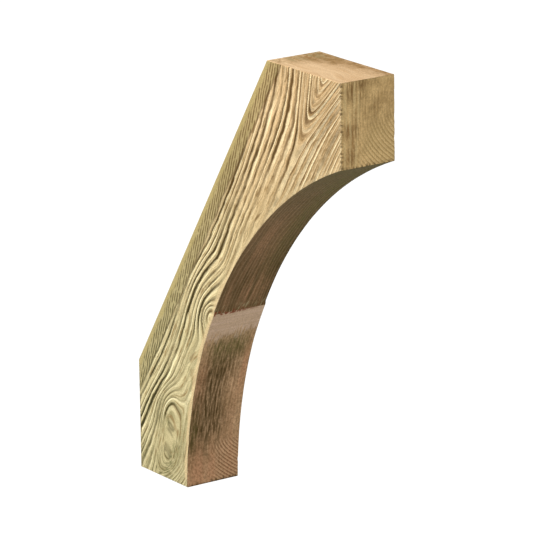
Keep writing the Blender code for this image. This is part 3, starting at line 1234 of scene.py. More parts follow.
@dataclass(frozen=True)
class Nicks:
    """Dark nicks that end grain leaves along an edge.

    Fields are how far in they reach, what picks the pattern, then their width and the length of
    the noise behind them, with the noise values where a nick starts to show and where it is full.
    """

    reach: float
    seed: float
    width: float = 7.1429
    length: float = 33.333
    start: float = 0.48
    full: float = 0.58


@dataclass
class Pattern:
    """Patterns that the finishes share, drawn in one material's tree."""

    tree: Tree

    def read(self, *names: str) -> list[Socket]:
        """Read x, y or z of each point, or its value of one of the skin's attributes.

        Args:
            *names: What to read.

        Returns:
            One value for each name.
        """
        place = put(self.tree, "ShaderNodeTexCoord", out="Object")
        found = []
        for name in names:
            if name in ("x", "y", "z"):
                axis = {"Vector": place}
                found.append(put(self.tree, "ShaderNodeSeparateXYZ", axis, out=name.upper()))
            else:
                found.append(put(self.tree, "ShaderNodeAttribute", attribute_name=name, out="Fac"))
        return found

    def cloud(self, look: Cloud, low: float = 0.0, high: float = 1.0) -> tuple[Socket, Socket]:
        """Draw blotches.

        Args:
            look: Their size and how much of them shows.
            low: The value between them.
            high: The value inside them.

        Returns:
            The bare noise, and the blotches.
        """
        place = put(self.tree, "ShaderNodeTexCoord", out="Object")
        noise = put(
            self.tree, "ShaderNodeTexNoise",
            {"Vector": place, "Scale": 1 / (look.size * MM), "Detail": look.detail},
        )
        blotches = put(
            self.tree, "ShaderNodeMapRange",
            {"Value": noise, "From Min": look.start, "From Max": look.full,
             "To Min": low, "To Max": high},
        )
        return noise, blotches

    def streaks(self, run: Socket, across: Socket, look: Streaks) -> Socket:
        """Draw streaks, long in one direction and narrow in the other.

        Args:
            run: Place along the streaks.
            across: Place across them.
            look: Their sizes and how much of them shows.

        Returns:
            The streaks' share, from 0 to 1.
        """
        x = put(self.tree, "ShaderNodeMath", {0: run, 1: look.length * MM}, operation="DIVIDE")
        y = put(
            self.tree, "ShaderNodeMath", {0: across, 1: look.width * look.unit}, operation="DIVIDE"
        )
        place = put(self.tree, "ShaderNodeCombineXYZ", {"X": x, "Y": y, "Z": look.seed})
        noise = put(
            self.tree, "ShaderNodeTexNoise", {"Vector": place, "Scale": 1.0, "Detail": look.detail}
        )
        return put(
            self.tree, "ShaderNodeMapRange",
            {"Value": noise, "From Min": look.start, "From Max": look.full},
        )

    def within(self, value: Socket, band: Band) -> Socket:
        """Give 1 within a band, fading to 0 beyond its ends.

        Args:
            value: What is measured.
            band: Where the band starts and ends, one of them at least, and how long it fades.

        Returns:
            The share, from 0 to 1.
        """
        start, end, fade = band
        ends = []
        if start is not None:
            ends.append({"From Min": start - fade, "From Max": start})
        if end is not None:
            ends.append({"From Min": end, "From Max": end + fade, "To Min": 1.0, "To Max": 0.0})
        shares = [
            put(
                self.tree, "ShaderNodeMapRange", {"Value": value, **each},
                interpolation_type="SMOOTHSTEP",
            )
            for each in ends
        ]
        if len(shares) == 1:
            return shares[0]
        return put(self.tree, "ShaderNodeMath", dict(enumerate(shares)), operation="MULTIPLY")

    def across_ring(self, ring: Socket, stops: Stops) -> Socket:
        """Give a share that goes through the same values across every ring.

        Args:
            ring: The ring number.
            stops: Places in a ring, from 0 to 1, and the share at each.

        Returns:
            The share, from 0 to 1.
        """
        part = put(self.tree, "ShaderNodeMath", {0: ring}, operation="FRACT")
        return put(self.tree, "ShaderNodeValToRGB", {"Fac": part}, stops=stops)

    def broken_lines(self, count: Socket, run: Socket, line: Band, shown: Streaks) -> Socket:
        """Draw one broken line in each row.

        Args:
            count: The row's number, with its fraction.
            run: Place along the rows.
            line: Where in a row its line lies, from 0 to 1.
            shown: Which stretches of a line show.

        Returns:
            The lines' share, from 0 to 1.
        """
        row = put(self.tree, "ShaderNodeMath", {0: count}, operation="FLOOR")
        part = put(self.tree, "ShaderNodeMath", {0: count}, operation="FRACT")
        whole = self.within(part, line)
        stretches = self.streaks(run, row, shown)
        return put(self.tree, "ShaderNodeMath", {0: whole, 1: stretches}, operation="MULTIPLY")

    def nicks(self, edge: Socket, run: Socket, look: Nicks) -> Socket:
        """Draw nicks along an edge.

        Args:
            edge: Distance from the edge.
            run: Place along the edge.
            look: Their sizes and how much of them shows.

        Returns:
            The nicks' share, from 0 to 1.
        """
        near = put(
            self.tree, "ShaderNodeMapRange",
            {"Value": edge, "From Max": look.reach * MM, "To Min": 1.0, "To Max": 0.0},
        )
        noise = Streaks(look.width, look.length, look.start, look.full, look.seed, detail=1.0)
        marks = self.streaks(run, edge, noise)
        return put(self.tree, "ShaderNodeMath", {0: near, 1: marks}, operation="MULTIPLY")

    def layers(self, base: Any, *paints: tuple[Any, Socket, float | Socket]) -> Socket:
        """Lay colours over each other, from the lowest up.

        Args:
            base: The lowest colour, as a socket or in hex.
            *paints: For each layer its colour, where it lies and how much of it lies there.

        Returns:
            The blended colour.
        """
        colour = base if isinstance(base, Socket) else linear(base)
        for paint, share, force in paints:
            amount = put(
                self.tree, "ShaderNodeMath", {0: share, 1: force},
                operation="MULTIPLY", use_clamp=True,
            )
            over = paint if isinstance(paint, Socket) else linear(paint)
            colour = put(
                self.tree, "ShaderNodeMix", {0: amount, 6: colour, 7: over},
                out=2, data_type="RGBA",
            )
        return colour


@dataclass(frozen=True, kw_only=True)
class Foam:
    """Rigid polyurethane foam, cast with a closed skin and taken to have a matt stain on it.

    The mould gives it sawn timber's fine tooth and the stain is dull, so the eye gets a dry,
    dusty timber face with hardly a highlight. Every finish keeps this and adds its own colours.
    """

    outline: Outline
    name: str
    # Typical values for a matt acrylic stain, with the gloss matched
    metallic: float = 0.0
    roughness: float = 0.72
    refraction: float = 1.46
    gloss: float = 0.25
    tooth_depth: float = 0.0007
    tooth_force: float = 0.5
    # Real grit is finer than a millimetre and is drawn coarser, so that it shows
    grit: Cloud = Cloud(3.4483, 0.3, 0.7, 2.0)
    grit_force: float = 0.16

    def make(self) -> bpy.types.Material:
        """Build the material: the finish's own colours, then the foam's grit, tooth and gloss.

        Returns:
            The material.
        """
        material = bpy.data.materials.new(self.name)
        material.use_nodes = True
        tree = material.node_tree
        draw = Pattern(tree)
        colour, tooth = self.paint(draw)
        _, grit = draw.cloud(self.grit, 1 - self.grit_force, 1 + self.grit_force)
        colour = put(tree, "ShaderNodeVectorMath", {0: colour, "Scale": grit}, operation="SCALE")
        bump = put(
            tree, "ShaderNodeBump",
            {"Strength": self.tooth_force, "Distance": self.tooth_depth, "Height": tooth},
            out="Normal",
        )
        shader = tree.nodes["Principled BSDF"]
        shader.inputs["Metallic"].default_value = self.metallic
        shader.inputs["Roughness"].default_value = self.roughness
        shader.inputs["IOR"].default_value = self.refraction
        shader.inputs["Specular IOR Level"].default_value = self.gloss
        tree.links.new(colour, shader.inputs["Base Color"])
        tree.links.new(bump, shader.inputs["Normal"])
        return material

    def paint(self, draw: Pattern) -> tuple[Socket, Socket]:
        """Draw the finish's own colours.

        Args:
            draw: The patterns, in the material's tree.

        Returns:
            The colour, and the height of the fine tooth from 0 to 1.
        """
        raise NotImplementedError


@dataclass(frozen=True, kw_only=True)
class CedarSide(Foam):
    """Cast polyurethane foam on the two sides, with a cedar wash that lies in the grooves.

    There is little of it on the crests. Each groove's brown line is the wash with painted shade on
    the wall that falls into it, and a cream painted highlight lies on the wall that rises out of it.
    It is warm tan at the top and olive low down, with a plain olive strip and a hatched band
    beside the slant, dark dashes, and a pale worn band beside the arch.
    """

    name: str = "cast polyurethane foam, cedar wash on sides"
    # Each pair is the colour low on the bracket and high on it. The crest colour is a painted
    # highlight, and the groove colour lays the wash with painted shade in the grooves, as well as the
    # thin lines, strokes and nicks
    crest: tuple[str, str] = ("#fdf4c6", "#ffecc0")
    pale: tuple[str, str] = ("#d8cc9e", "#ecce9f")
    middle: tuple[str, str] = ("#b3a97c", "#c9a674")
    groove: tuple[str, str] = ("#4a4420", "#6b5029")
    strip: tuple[str, str] = ("#aca274", "#ab9a66")
    high: Band = (1.00, None, 0.88)
    worn: str = "#ddc698"
    green: str = "#6d6c40"
    brown: str = "#84642f"
    ochre: str = "#b7a76c"
    # A ring is never quite even: its line wanders by up to a fifth of its width, and it comes
    # and goes along its length
    wander: Streaks = Streaks(45.455, 0.76923, 0.25, 0.75, 0.0, unit=RING)
    wander_reach: float = 0.22
    presence: Streaks = Streaks(200.0, 0.26954, 0.36, 0.58, 4.0, 1.5, ROW)
    presence_gain: float = 0.75
    presence_least: float = 0.25
    # Where in a ring its line lies, the wash with painted shade on the wall that falls into the
    # groove; where a painted highlight lies on the wall that rises out of it; and how strong the line
    # is for the grain's strength
    line: Stops = ((0.0, 0.70), (0.08, 0.0), (0.66, 0.0), (0.80, 0.45), (0.91, 1.0), (1.0, 0.70))
    ridge: Stops = ((0.0, 0.0), (0.10, 1.0), (0.30, 0.9), (0.48, 0.0))
    wash_gain: float = 1.45
    wash_least: float = 0.06
    # Thin broken lines run between the grooves
    thin_per_ring: float = 3.0
    thin_wander: float = 0.9
    thin_line: Band = (0.72, 0.82, 0.16)
    thin_shown: Streaks = Streaks(90.909, 0.42194, 0.42, 0.56, 51.0, 1.0, ROW)
    mottle: Cloud = Cloud(71.429, 0.36, 0.68, 3.0)
    fine: Streaks = Streaks(14.286, 0.16667, 0.30, 0.70, 9.0, 3.0, RING)
    dashes: Streaks = Streaks(41.667, 0.43478, 0.52, 0.64, 21.0, 3.0, RING)
    # The worn band beside the arch is ragged, ends above the foot and is fainter high up
    worn_ragged: float = -0.016
    worn_band: Band = (None, 0.000, 0.007)
    worn_above_foot: float = 0.03
    worn_foot_fade: float = 0.02
    worn_force: float = 0.80
    worn_high_change: float = -0.50
    # Short oblique strokes fill a band beside the slant, and a dark line divides it from the grain
    hatch_lean: float = 0.30
    hatch_pitch: float = 0.0085
    hatch_ragged: float = 1.6
    hatch_line: Band = (0.38, 0.66, 0.22)
    hatch_shown: Streaks = Streaks(20.833, 0.18868, 0.34, 0.46, 31.0, 1.0, ROW)
    slant_ragged: float = 0.014
    hatch_band: Band = (0.022, 0.050, 0.006)
    strip_band: Band = (None, 0.048, 0.006)
    ochre_band: Band = (None, 0.020, 0.004)
    divide_band: Band = (0.0515, 0.0545, 0.002)
    nose_nicks: Nicks = Nicks(9.0, 5.0)
    wall_nicks: Nicks = Nicks(8.0, 8.0)

    def paint(self, draw: Pattern) -> tuple[Socket, Socket]:
        """Draw the sides' colours.

        Args:
            draw: The patterns, in the material's tree.

        Returns:
            The colour, and the height of the fine tooth from 0 to 1.
        """
        tree = draw.tree
        ring, along, x, z = draw.read("side_ring", "along", "x", "z")
        height = draw.within(z, self.high)
        tones = {
            tone: draw.layers(low, (high, height, 1.0))
            for tone, (low, high) in (
                ("crest", self.crest), ("pale", self.pale), ("middle", self.middle),
                ("groove", self.groove), ("strip", self.strip),
            )
        }
        cloud, mottle = draw.cloud(self.mottle)
        fine = draw.streaks(along, ring, self.fine)
        colour = self.grain(draw, tones, mottle, fine)

        margin = draw.read("margin")[0]
        worn = put(
            tree, "ShaderNodeMath", {0: cloud, 1: self.worn_ragged, 2: margin},
            operation="MULTIPLY_ADD",
        )
        worn = draw.within(worn, self.worn_band)
        foot_end = self.outline.foot_z + self.worn_above_foot
        off_foot = draw.within(z, (foot_end, None, self.worn_foot_fade))
        worn = put(tree, "ShaderNodeMath", {0: worn, 1: off_foot}, operation="MULTIPLY")
        force = put(
            tree, "ShaderNodeMath", {0: height, 1: self.worn_high_change, 2: self.worn_force},
            operation="MULTIPLY_ADD",
        )
        colour = draw.layers(colour, (self.worn, worn, force))

        colour = self.beside_slant(draw, colour, tones, cloud, fine)
        to_nose = put(
            tree, "ShaderNodeMath", {0: self.outline.projection, 1: x}, operation="SUBTRACT"
        )
        colour = draw.layers(
            colour,
            (tones["groove"], draw.nicks(to_nose, z, self.nose_nicks), 0.9),
            (tones["groove"], draw.nicks(x, z, self.wall_nicks), 0.7),
        )
        return colour, fine

    def grain(
        self, draw: Pattern, tones: dict[str, Socket], mottle: Socket, fine: Socket
    ) -> Socket:
        """Draw the rings, with wash and painted shade in their grooves and a painted highlight beside
        them, the thin lines between them and the stains.

        Args:
            draw: The patterns.
            tones: The side's colours at each height.
            mottle: Soft blotches.
            fine: Fine streaks along the rings.

        Returns:
            The colour.
        """
        tree = draw.tree
        ring, share, along, dark, green = draw.read(
            "side_ring", "side_share", "along", "side_dark", "side_green"
        )
        wander = draw.streaks(along, ring, self.wander)
        moved = put(
            tree, "ShaderNodeMath", {0: wander, 1: self.wander_reach, 2: ring},
            operation="MULTIPLY_ADD",
        )
        whole = put(tree, "ShaderNodeMath", {0: moved}, operation="FLOOR")
        line = draw.across_ring(moved, self.line)
        ridge = draw.across_ring(moved, self.ridge)
        thin = put(tree, "ShaderNodeMath", {0: moved, 1: self.thin_per_ring}, operation="MULTIPLY")
        thin = put(
            tree, "ShaderNodeMath", {0: wander, 1: self.thin_wander, 2: thin},
            operation="MULTIPLY_ADD",
        )
        thin = draw.broken_lines(thin, along, self.thin_line, self.thin_shown)
        presence = draw.streaks(along, whole, self.presence)
        presence = put(
            tree, "ShaderNodeMath", {0: presence, 1: self.presence_gain, 2: self.presence_least},
            operation="MULTIPLY_ADD",
        )
        # How strong the groove's line is: the wash together with painted shade
        wash = put(
            tree, "ShaderNodeMath", {0: share, 1: self.wash_gain, 2: self.wash_least},
            operation="MULTIPLY_ADD",
        )
        wash = put(tree, "ShaderNodeMath", {0: wash, 1: presence}, operation="MULTIPLY")
        # How strong the painted highlight is beside each groove
        highlight_shown = put(tree, "ShaderNodeMath", {0: ridge, 1: presence}, operation="MULTIPLY")
        return draw.layers(
            tones["pale"],
            (tones["middle"], mottle, 0.55),
            (tones["middle"], fine, 0.50),
            (self.brown, draw.streaks(along, ring, self.dashes), 0.70),
            (self.brown, dark, fine),
            (self.green, green, fine),
            (tones["groove"], thin, 0.52),
            # Painted highlight on the wall rising out of each groove, then the wash with painted
            # shade on the wall falling into it
            (tones["crest"], highlight_shown, share),
            (tones["groove"], line, wash),
        )

    def beside_slant(
        self, draw: Pattern, colour: Socket, tones: dict[str, Socket], cloud: Socket, fine: Socket
    ) -> Socket:
        """Draw the plain strip and the hatched band beside the slant.

        Args:
            draw: The patterns.
            colour: The colour below.
            tones: The side's colours at each height.
            cloud: Soft noise.
            fine: Fine streaks along the rings.

        Returns:
            The colour.
        """
        tree = draw.tree
        along, deep = draw.read("along", "deep")
        row = put(
            tree, "ShaderNodeMath", {0: along, 1: self.hatch_lean, 2: deep},
            operation="MULTIPLY_ADD",
        )
        row = put(tree, "ShaderNodeMath", {0: row, 1: self.hatch_pitch}, operation="DIVIDE")
        row = put(
            tree, "ShaderNodeMath", {0: cloud, 1: self.hatch_ragged, 2: row},
            operation="MULTIPLY_ADD",
        )
        strokes = draw.broken_lines(row, along, self.hatch_line, self.hatch_shown)
        edge = put(
            tree, "ShaderNodeMath", {0: cloud, 1: self.slant_ragged, 2: deep},
            operation="MULTIPLY_ADD",
        )
        in_band = draw.within(edge, self.hatch_band)
        strokes = put(tree, "ShaderNodeMath", {0: strokes, 1: in_band}, operation="MULTIPLY")
        return draw.layers(
            colour,
            (tones["strip"], draw.within(edge, self.strip_band), 0.72),
            (tones["groove"], strokes, 0.78),
            (self.ochre, draw.within(edge, self.ochre_band), fine),
            (tones["groove"], draw.within(edge, self.divide_band), 0.55),
        )


@dataclass(frozen=True, kw_only=True)
class EndGrain(Foam):
    """Cast polyurethane foam on the nose, with a cedar wash over its cast end grain.

    The wash is heavier than on a side, so the eye gets a darker olive tan, with brown patches and
    dark nicks along two edges. The end rings are dark arcs of painted shade, each with a pale painted
    highlight on its crest.
    """

    name: str = "cast polyurethane foam, cedar end grain on nose"
    pit: str = "#54401f"
    pale: str = "#dcb97f"
    middle: str = "#bfa16b"
    arc: str = "#927745"
    bright: str = "#dcc28a"
    brown: str = "#7a5a30"
    red: str = "#a5743f"
    mottle: Cloud = Cloud(33.333, 0.38, 0.64, 4.0)
    # Pores are finer than this and are drawn coarser, so that they show
    pores: Cloud = Cloud(3.8462, 0.46, 0.66, 2.0)
    upright: Streaks = Streaks(55.556, 5.2632, 0.40, 0.62, 3.0)
    near_lines: Streaks = Streaks(111.11, 6.6667, 0.50, 0.58, 37.0)
    near_band: Band = (None, -0.028, 0.012)
    # Across each ring: painted shade in the arc colour, then a painted highlight in the bright colour
    # on its crest
    shade: Stops = ((0.0, 0.7), (0.15, 0.1), (0.5, 0.0), (0.72, 0.25), (0.90, 1.0), (1.0, 0.7))
    ridge: Stops = ((0.0, 0.0), (0.36, 0.10), (0.55, 1.0), (0.72, 0.4), (0.80, 0.0))
    near_nicks: Nicks = Nicks(9.0, 5.0)
    low_nicks: Nicks = Nicks(8.0, 11.0)

    def paint(self, draw: Pattern) -> tuple[Socket, Socket]:
        """Draw the nose's colours.

        Args:
            draw: The patterns, in the material's tree.

        Returns:
            The colour, and the height of the fine tooth from 0 to 1.
        """
        tree = draw.tree
        ring, share, dark, red, y, z = draw.read(
            "strip_ring", "strip_share", "nose_dark", "nose_red", "y", "z"
        )
        _, mottle = draw.cloud(self.mottle)
        _, pores = draw.cloud(self.pores)
        upright = draw.streaks(z, y, self.upright)
        lines = put(
            tree, "ShaderNodeMath",
            {0: draw.streaks(z, y, self.near_lines), 1: draw.within(y, self.near_band)},
            operation="MULTIPLY",
        )
        from_near = put(tree, "ShaderNodeMath", {0: y, 1: self.outline.width / 2}, operation="ADD")
        from_low = put(
            tree, "ShaderNodeMath", {0: z, 1: self.outline.nose_z}, operation="SUBTRACT"
        )
        colour = draw.layers(
            self.pale,
            (self.middle, mottle, 0.75),
            (self.middle, upright, 0.40),
            (self.red, red, mottle),
            (self.brown, dark, upright),
            (self.brown, dark, mottle),
            (self.bright, lines, 0.50),
            # Painted shade, then a painted highlight, across each end ring
            (self.arc, draw.across_ring(ring, self.shade), share),
            (self.bright, draw.across_ring(ring, self.ridge), share),
            (self.brown, pores, 0.14),
            (self.pit, draw.nicks(from_near, z, self.near_nicks), 0.9),
            (self.pit, draw.nicks(from_low, y, self.low_nicks), 0.9),
        )
        return colour, upright


@dataclass(frozen=True, kw_only=True)
class SawnTop(Foam):
    """Cast polyurethane foam on the soffit face, with a thin cedar wash over a sawn surface.

    The eye gets peach cream with soft strokes along the face, and brown at the far edge.
    """

    name: str = "cast polyurethane foam, sawn cedar on top"
    pale: str = "#efcfa4"
    middle: str = "#d9b384"
    brown: str = "#9b7540"
    green: str = "#a39468"
    mottle: Cloud = Cloud(20.833, 0.42, 0.62, 4.0)
    # The strokes bend gently across the face
    bend_size: float = 142.86
    bend_reach: float = 0.05
    strokes: Streaks = Streaks(71.429, 8.3333, 0.40, 0.64, 2.0)
    broad: Streaks = Streaks(200.0, 26.316, 0.40, 0.66, 6.0)
    pits: Streaks = Streaks(16.667, 11.111, 0.52, 0.62, 33.0)

    def paint(self, draw: Pattern) -> tuple[Socket, Socket]:
        """Draw the soffit face's colours.

        Args:
            draw: The patterns, in the material's tree.

        Returns:
            The colour, and the height of the fine tooth from 0 to 1.
        """
        tree = draw.tree
        dark, green, x, y = draw.read("top_dark", "top_green", "x", "y")
        place = put(tree, "ShaderNodeTexCoord", out="Object")
        bend = put(
            tree, "ShaderNodeTexNoise",
            {"Vector": place, "Scale": 1 / (self.bend_size * MM), "Detail": 1.0},
        )
        across = put(
            tree, "ShaderNodeMath", {0: bend, 1: self.bend_reach, 2: y}, operation="MULTIPLY_ADD"
        )
        _, mottle = draw.cloud(self.mottle)
        strokes = draw.streaks(x, across, self.strokes)
        colour = draw.layers(
            self.pale,
            (self.middle, strokes, 0.65),
            (self.middle, draw.streaks(x, across, self.broad), 0.60),
            (self.brown, dark, 0.58),
            (self.brown, dark, mottle),
            (self.green, green, strokes),
            (self.brown, green, draw.streaks(x, y, self.pits)),
        )
        return colour, strokes


@dataclass(frozen=True, kw_only=True)
class StainedArch(Foam):
    """Cast polyurethane foam on the arch, with a heavy brown stain in streaks.

    The eye gets a dark face without gloss: green under the nose and red at the foot. Below the
    lip a smooth beige band has taken no stain.
    """

    name: str = "cast polyurethane foam, brown stain on arch"
    gloss: float = 0.08
    pale: str = "#c4a27c"
    middle: str = "#997d58"
    dark: str = "#433414"
    green: str = "#565426"
    red: str = "#ba8b67"
    groove: str = "#63442a"
    band: str = "#b39a80"
    band_line: str = "#c3a993"
    speck: str = "#74442c"
    fleck: str = "#a59a74"
    mottle: Cloud = Cloud(45.455, 0.38, 0.64, 4.0)
    dots: Cloud = Cloud(6.6667, 0.44, 0.60, 3.0)
    streaks: Streaks = Streaks(33.333, 5.2632, 0.40, 0.60, 12.0, 4.0)
    broad: Streaks = Streaks(250.0, 18.182, 0.38, 0.62, 15.0)
    # Across each ring line: painted shade in the groove colour, then a painted highlight in the pale
    # colour on its crest
    shade: Stops = ((0.0, 0.7), (0.2, 0.1), (0.5, 0.0), (0.72, 0.25), (0.90, 1.0), (1.0, 0.7))
    ridge: Stops = ((0.0, 0.0), (0.36, 0.10), (0.55, 1.0), (0.72, 0.4), (0.80, 0.0))
    stain_gain: float = 0.55
    stain_least: float = 0.45
    above_fade: float = 0.004
    # The beige band's lower edge is ragged and falls towards the near side
    band_height: float = 0.038
    band_fade: float = 0.030
    band_ragged: float = 0.030
    band_slope: float = -0.10
    band_top_gap: float = 0.003
    level: Streaks = Streaks(166.67, 7.6923, 0.45, 0.62, 18.0)
    # Red specks lie on the lip and pale oblique flecks just above it, given from the lip's edge
    specks: Streaks = Streaks(7.6923, 9.0909, 0.47, 0.58, 25.0, 1.0)
    speck_band: Band = (-0.004, 0.004, 0.004)
    speck_fade: tuple[float, float] = (-0.01, 0.05)
    speck_least: float = 0.25
    flecks: Streaks = Streaks(25.0, 6.6667, 0.55, 0.66, 28.0, 1.0)
    fleck_band: Band = (0.006, 0.014, 0.010)
    fleck_lean: float = -0.5
    foot_nicks: Nicks = Nicks(12.0, 14.0)
    foot_line: Band = (None, 0.0015, 0.003)
    rim_band: Band = (None, 0.003, 0.004)

    def paint(self, draw: Pattern) -> tuple[Socket, Socket]:
        """Draw the arch's colours.

        Args:
            draw: The patterns, in the material's tree.

        Returns:
            The colour, and the height of the fine tooth from 0 to 1.
        """
        tree = draw.tree
        ring, share, dark, green, red, along, y, z = draw.read(
            "strip_ring", "strip_share", "arch_dark", "arch_green", "arch_red", "along", "y", "z"
        )
        up = put(tree, "ShaderNodeMath", {0: z, 1: self.outline.foot_z}, operation="SUBTRACT")
        _, mottle = draw.cloud(self.mottle)
        _, dots = draw.cloud(self.dots)
        streaks = draw.streaks(along, y, self.streaks)
        stain = put(
            tree, "ShaderNodeMath", {0: streaks, 1: self.stain_gain, 2: self.stain_least},
            operation="MULTIPLY_ADD",
        )
        above = draw.within(up, (self.outline.lip_height, None, self.above_fade))
        colour = draw.layers(
            self.pale,
            (self.middle, mottle, 0.70),
            (self.middle, streaks, 0.60),
            (self.red, red, 0.70),
            (self.dark, above, 0.80),
            (self.dark, dark, stain),
            (self.red, red, draw.streaks(along, y, self.broad)),
            (self.green, green, stain),
            (self.dark, dots, 0.34),
            # Painted shade, then a painted highlight, across each ring line
            (self.groove, draw.across_ring(ring, self.shade), share),
            (self.pale, draw.across_ring(ring, self.ridge), share),
        )
        colour = self.lip(draw, colour, up, streaks)
        far_edge = put(
            tree, "ShaderNodeMath", {0: self.outline.width / 2, 1: y}, operation="SUBTRACT"
        )
        rim = draw.within(far_edge, self.rim_band)
        rim = put(tree, "ShaderNodeMath", {0: rim, 1: above}, operation="MULTIPLY")
        colour = draw.layers(
            colour,
            (self.dark, draw.nicks(up, y, self.foot_nicks), 0.9),
            (self.dark, draw.within(up, self.foot_line), 0.45),
            (self.dark, rim, 0.6),
        )
        return colour, streaks

    def lip(self, draw: Pattern, colour: Socket, up: Socket, streaks: Socket) -> Socket:
        """Draw the beige band below the lip, and the specks and flecks on it.

        Args:
            draw: The patterns.
            colour: The colour below.
            up: Height above the foot.
            streaks: The stain's streaks.

        Returns:
            The colour.
        """
        tree = draw.tree
        lip = self.outline.lip_height
        y = draw.read("y")[0]
        lower = put(
            tree, "ShaderNodeMath", {0: streaks, 1: self.band_ragged, 2: up},
            operation="MULTIPLY_ADD",
        )
        lower = put(
            tree, "ShaderNodeMath", {0: y, 1: self.band_slope, 2: lower}, operation="MULTIPLY_ADD"
        )
        in_band = put(
            tree, "ShaderNodeMath",
            {0: draw.within(lower, (lip - self.band_height, None, self.band_fade)),
             1: draw.within(up, (None, lip - self.band_top_gap, self.band_top_gap))},
            operation="MULTIPLY",
        )
        level = draw.streaks(y, up, self.level)
        level = put(tree, "ShaderNodeMath", {0: level, 1: in_band}, operation="MULTIPLY")

        from_lip = put(tree, "ShaderNodeMath", {0: up, 1: lip}, operation="SUBTRACT")
        near_half = put(
            tree, "ShaderNodeMapRange",
            {"Value": y, "From Min": self.speck_fade[0], "From Max": self.speck_fade[1],
             "To Min": 1.0, "To Max": self.speck_least},
        )
        specks = put(
            tree, "ShaderNodeMath",
            {0: draw.streaks(y, up, self.specks), 1: draw.within(from_lip, self.speck_band)},
            operation="MULTIPLY",
        )
        lean = put(
            tree, "ShaderNodeMath", {0: up, 1: self.fleck_lean, 2: y}, operation="MULTIPLY_ADD"
        )
        flecks = put(
            tree, "ShaderNodeMath",
            {0: draw.streaks(up, lean, self.flecks), 1: draw.within(from_lip, self.fleck_band)},
            operation="MULTIPLY",
        )
        return draw.layers(
            colour,
            (self.band, in_band, 0.92),
            (self.band_line, level, 0.45),
            (self.speck, specks, near_half),
            (self.fleck, flecks, 0.6),
        )


@dataclass(frozen=True, kw_only=True)
class PlainBack(Foam):
    """Cast polyurethane foam on the back, wall face and foot, with an even cedar wash.

    The eye gets the side's tan with few lines and little contrast.
    """

    name: str = "cast polyurethane foam, plain cedar wash"
    pale: str = "#c3b184"
    middle: str = "#a39468"
    groove: str = "#5f5030"
    mottle: Cloud = Cloud(62.5, 0.38, 0.64, 3.0)
    streaks: Streaks = Streaks(71.429, 6.25, 0.42, 0.62, 41.0)
    shown: Streaks = Streaks(166.67, 0.34483, 0.42, 0.60, 44.0, 1.0, ROW)
    shade: Stops = ((0.0, 0.7), (0.2, 0.1), (0.5, 0.0), (0.72, 0.25), (0.90, 1.0), (1.0, 0.7))

    def paint(self, draw: Pattern) -> tuple[Socket, Socket]:
        """Draw the plain faces' colours.

        Args:
            draw: The patterns, in the material's tree.

        Returns:
            The colour, and the height of the fine tooth from 0 to 1.
        """
        tree = draw.tree
        ring, share, along, y = draw.read("strip_ring", "strip_share", "along", "y")
        _, mottle = draw.cloud(self.mottle)
        streaks = draw.streaks(along, y, self.streaks)
        whole = put(tree, "ShaderNodeMath", {0: ring}, operation="FLOOR")
        shown = draw.streaks(along, whole, self.shown)
        shown = put(tree, "ShaderNodeMath", {0: shown, 1: share}, operation="MULTIPLY")
        colour = draw.layers(
            self.pale,
            (self.middle, mottle, 0.70),
            (self.middle, streaks, 0.60),
            (self.groove, draw.across_ring(ring, self.shade), shown),
        )
        return colour, streaks


@dataclass
class Casting:
    """The whole bracket: one closed casting with its grain raised and its finishes on."""

    outline: Outline
    relief: Relief = field(default_factory=Relief)
    sharp_angle: float = math.radians(50)

    def finishes(self) -> dict[Face, bpy.types.Material]:
        """Make the material of each face.

        Returns:
            Materials by face.
        """
        side, back, arch, nose, top = [
            finish(outline=self.outline).make()
            for finish in (CedarSide, PlainBack, StainedArch, EndGrain, SawnTop)
        ]
        return {
            Face.NEAR: side, Face.FAR: side, Face.ARCH: arch, Face.NOSE: nose,
            Face.SOFFIT: top, Face.BACK: back, Face.WALL: back, Face.FOOT: back,
        }

    def build(self) -> bpy.types.Object:
        """Make the casting as one closed mesh.

        Returns:
            The finished piece, at the origin.
        """
        out = self.outline
        skin = SkinLoft(out).build()
        flat = skin.along[:, None] * out.up_slant + skin.deep[:, None] * out.inward + out.slant_foot
        x, z = flat[:, 0], flat[:, 1]
        grain = Grain(out, RingField(out))
        side_ring, side_share, side_cut = grain.side(skin)
        strip_ring, strip_share = grain.strip(skin, z)
        mesh = bpy.data.meshes.new("cedar-look casting")
        points = np.stack([x, skin.y, z], -1)
        mesh.from_pydata(points.tolist(), [], skin.faces)
        self.store(mesh, "POINT", "FLOAT", {
            "along": skin.along, "deep": skin.deep, "margin": skin.margin,
            "side_ring": side_ring, "side_share": side_share, "side_cut": side_cut,
            "strip_ring": strip_ring, "strip_share": strip_share, "strip_cut": strip_share,
            **Stains(out).on(skin, x, z),
        })
        self.store(mesh, "POINT", "FLOAT_VECTOR", {
            "into_side": skin.into_side, "into_strip": skin.into_strip,
        })
        self.store(mesh, "FACE", "INT", {"face_kind": skin.face_kinds})
        piece = bpy.data.objects.new("cedar_look_casting", mesh)
        bpy.context.scene.collection.objects.link(piece)
        self.relief.press(piece, self.finishes())
        piece.data.shade_smooth()
        piece.data.set_sharp_from_angle(angle=self.sharp_angle)
        return piece

    def store(self, mesh: bpy.types.Mesh, domain: str, kind: str, values: dict) -> None:
        """Keep values on the mesh as named attributes.

        Args:
            mesh: The mesh.
            domain: POINT or FACE.
            kind: FLOAT, INT or FLOAT_VECTOR.
            values: Arrays by attribute name.
        """
        target = "vector" if kind == "FLOAT_VECTOR" else "value"
        for name, array in values.items():
            attribute = mesh.attributes.new(name, kind, domain)
            attribute.data.foreach_set(target, np.ascontiguousarray(array).ravel())


@dataclass(frozen=True)
class Lamp:
    """A soft square lamp: its place, the length of its side, its power in watts and its colour."""

    name: str
    place: tuple[float, float, float]
    side: float
    power: float
    colour: str


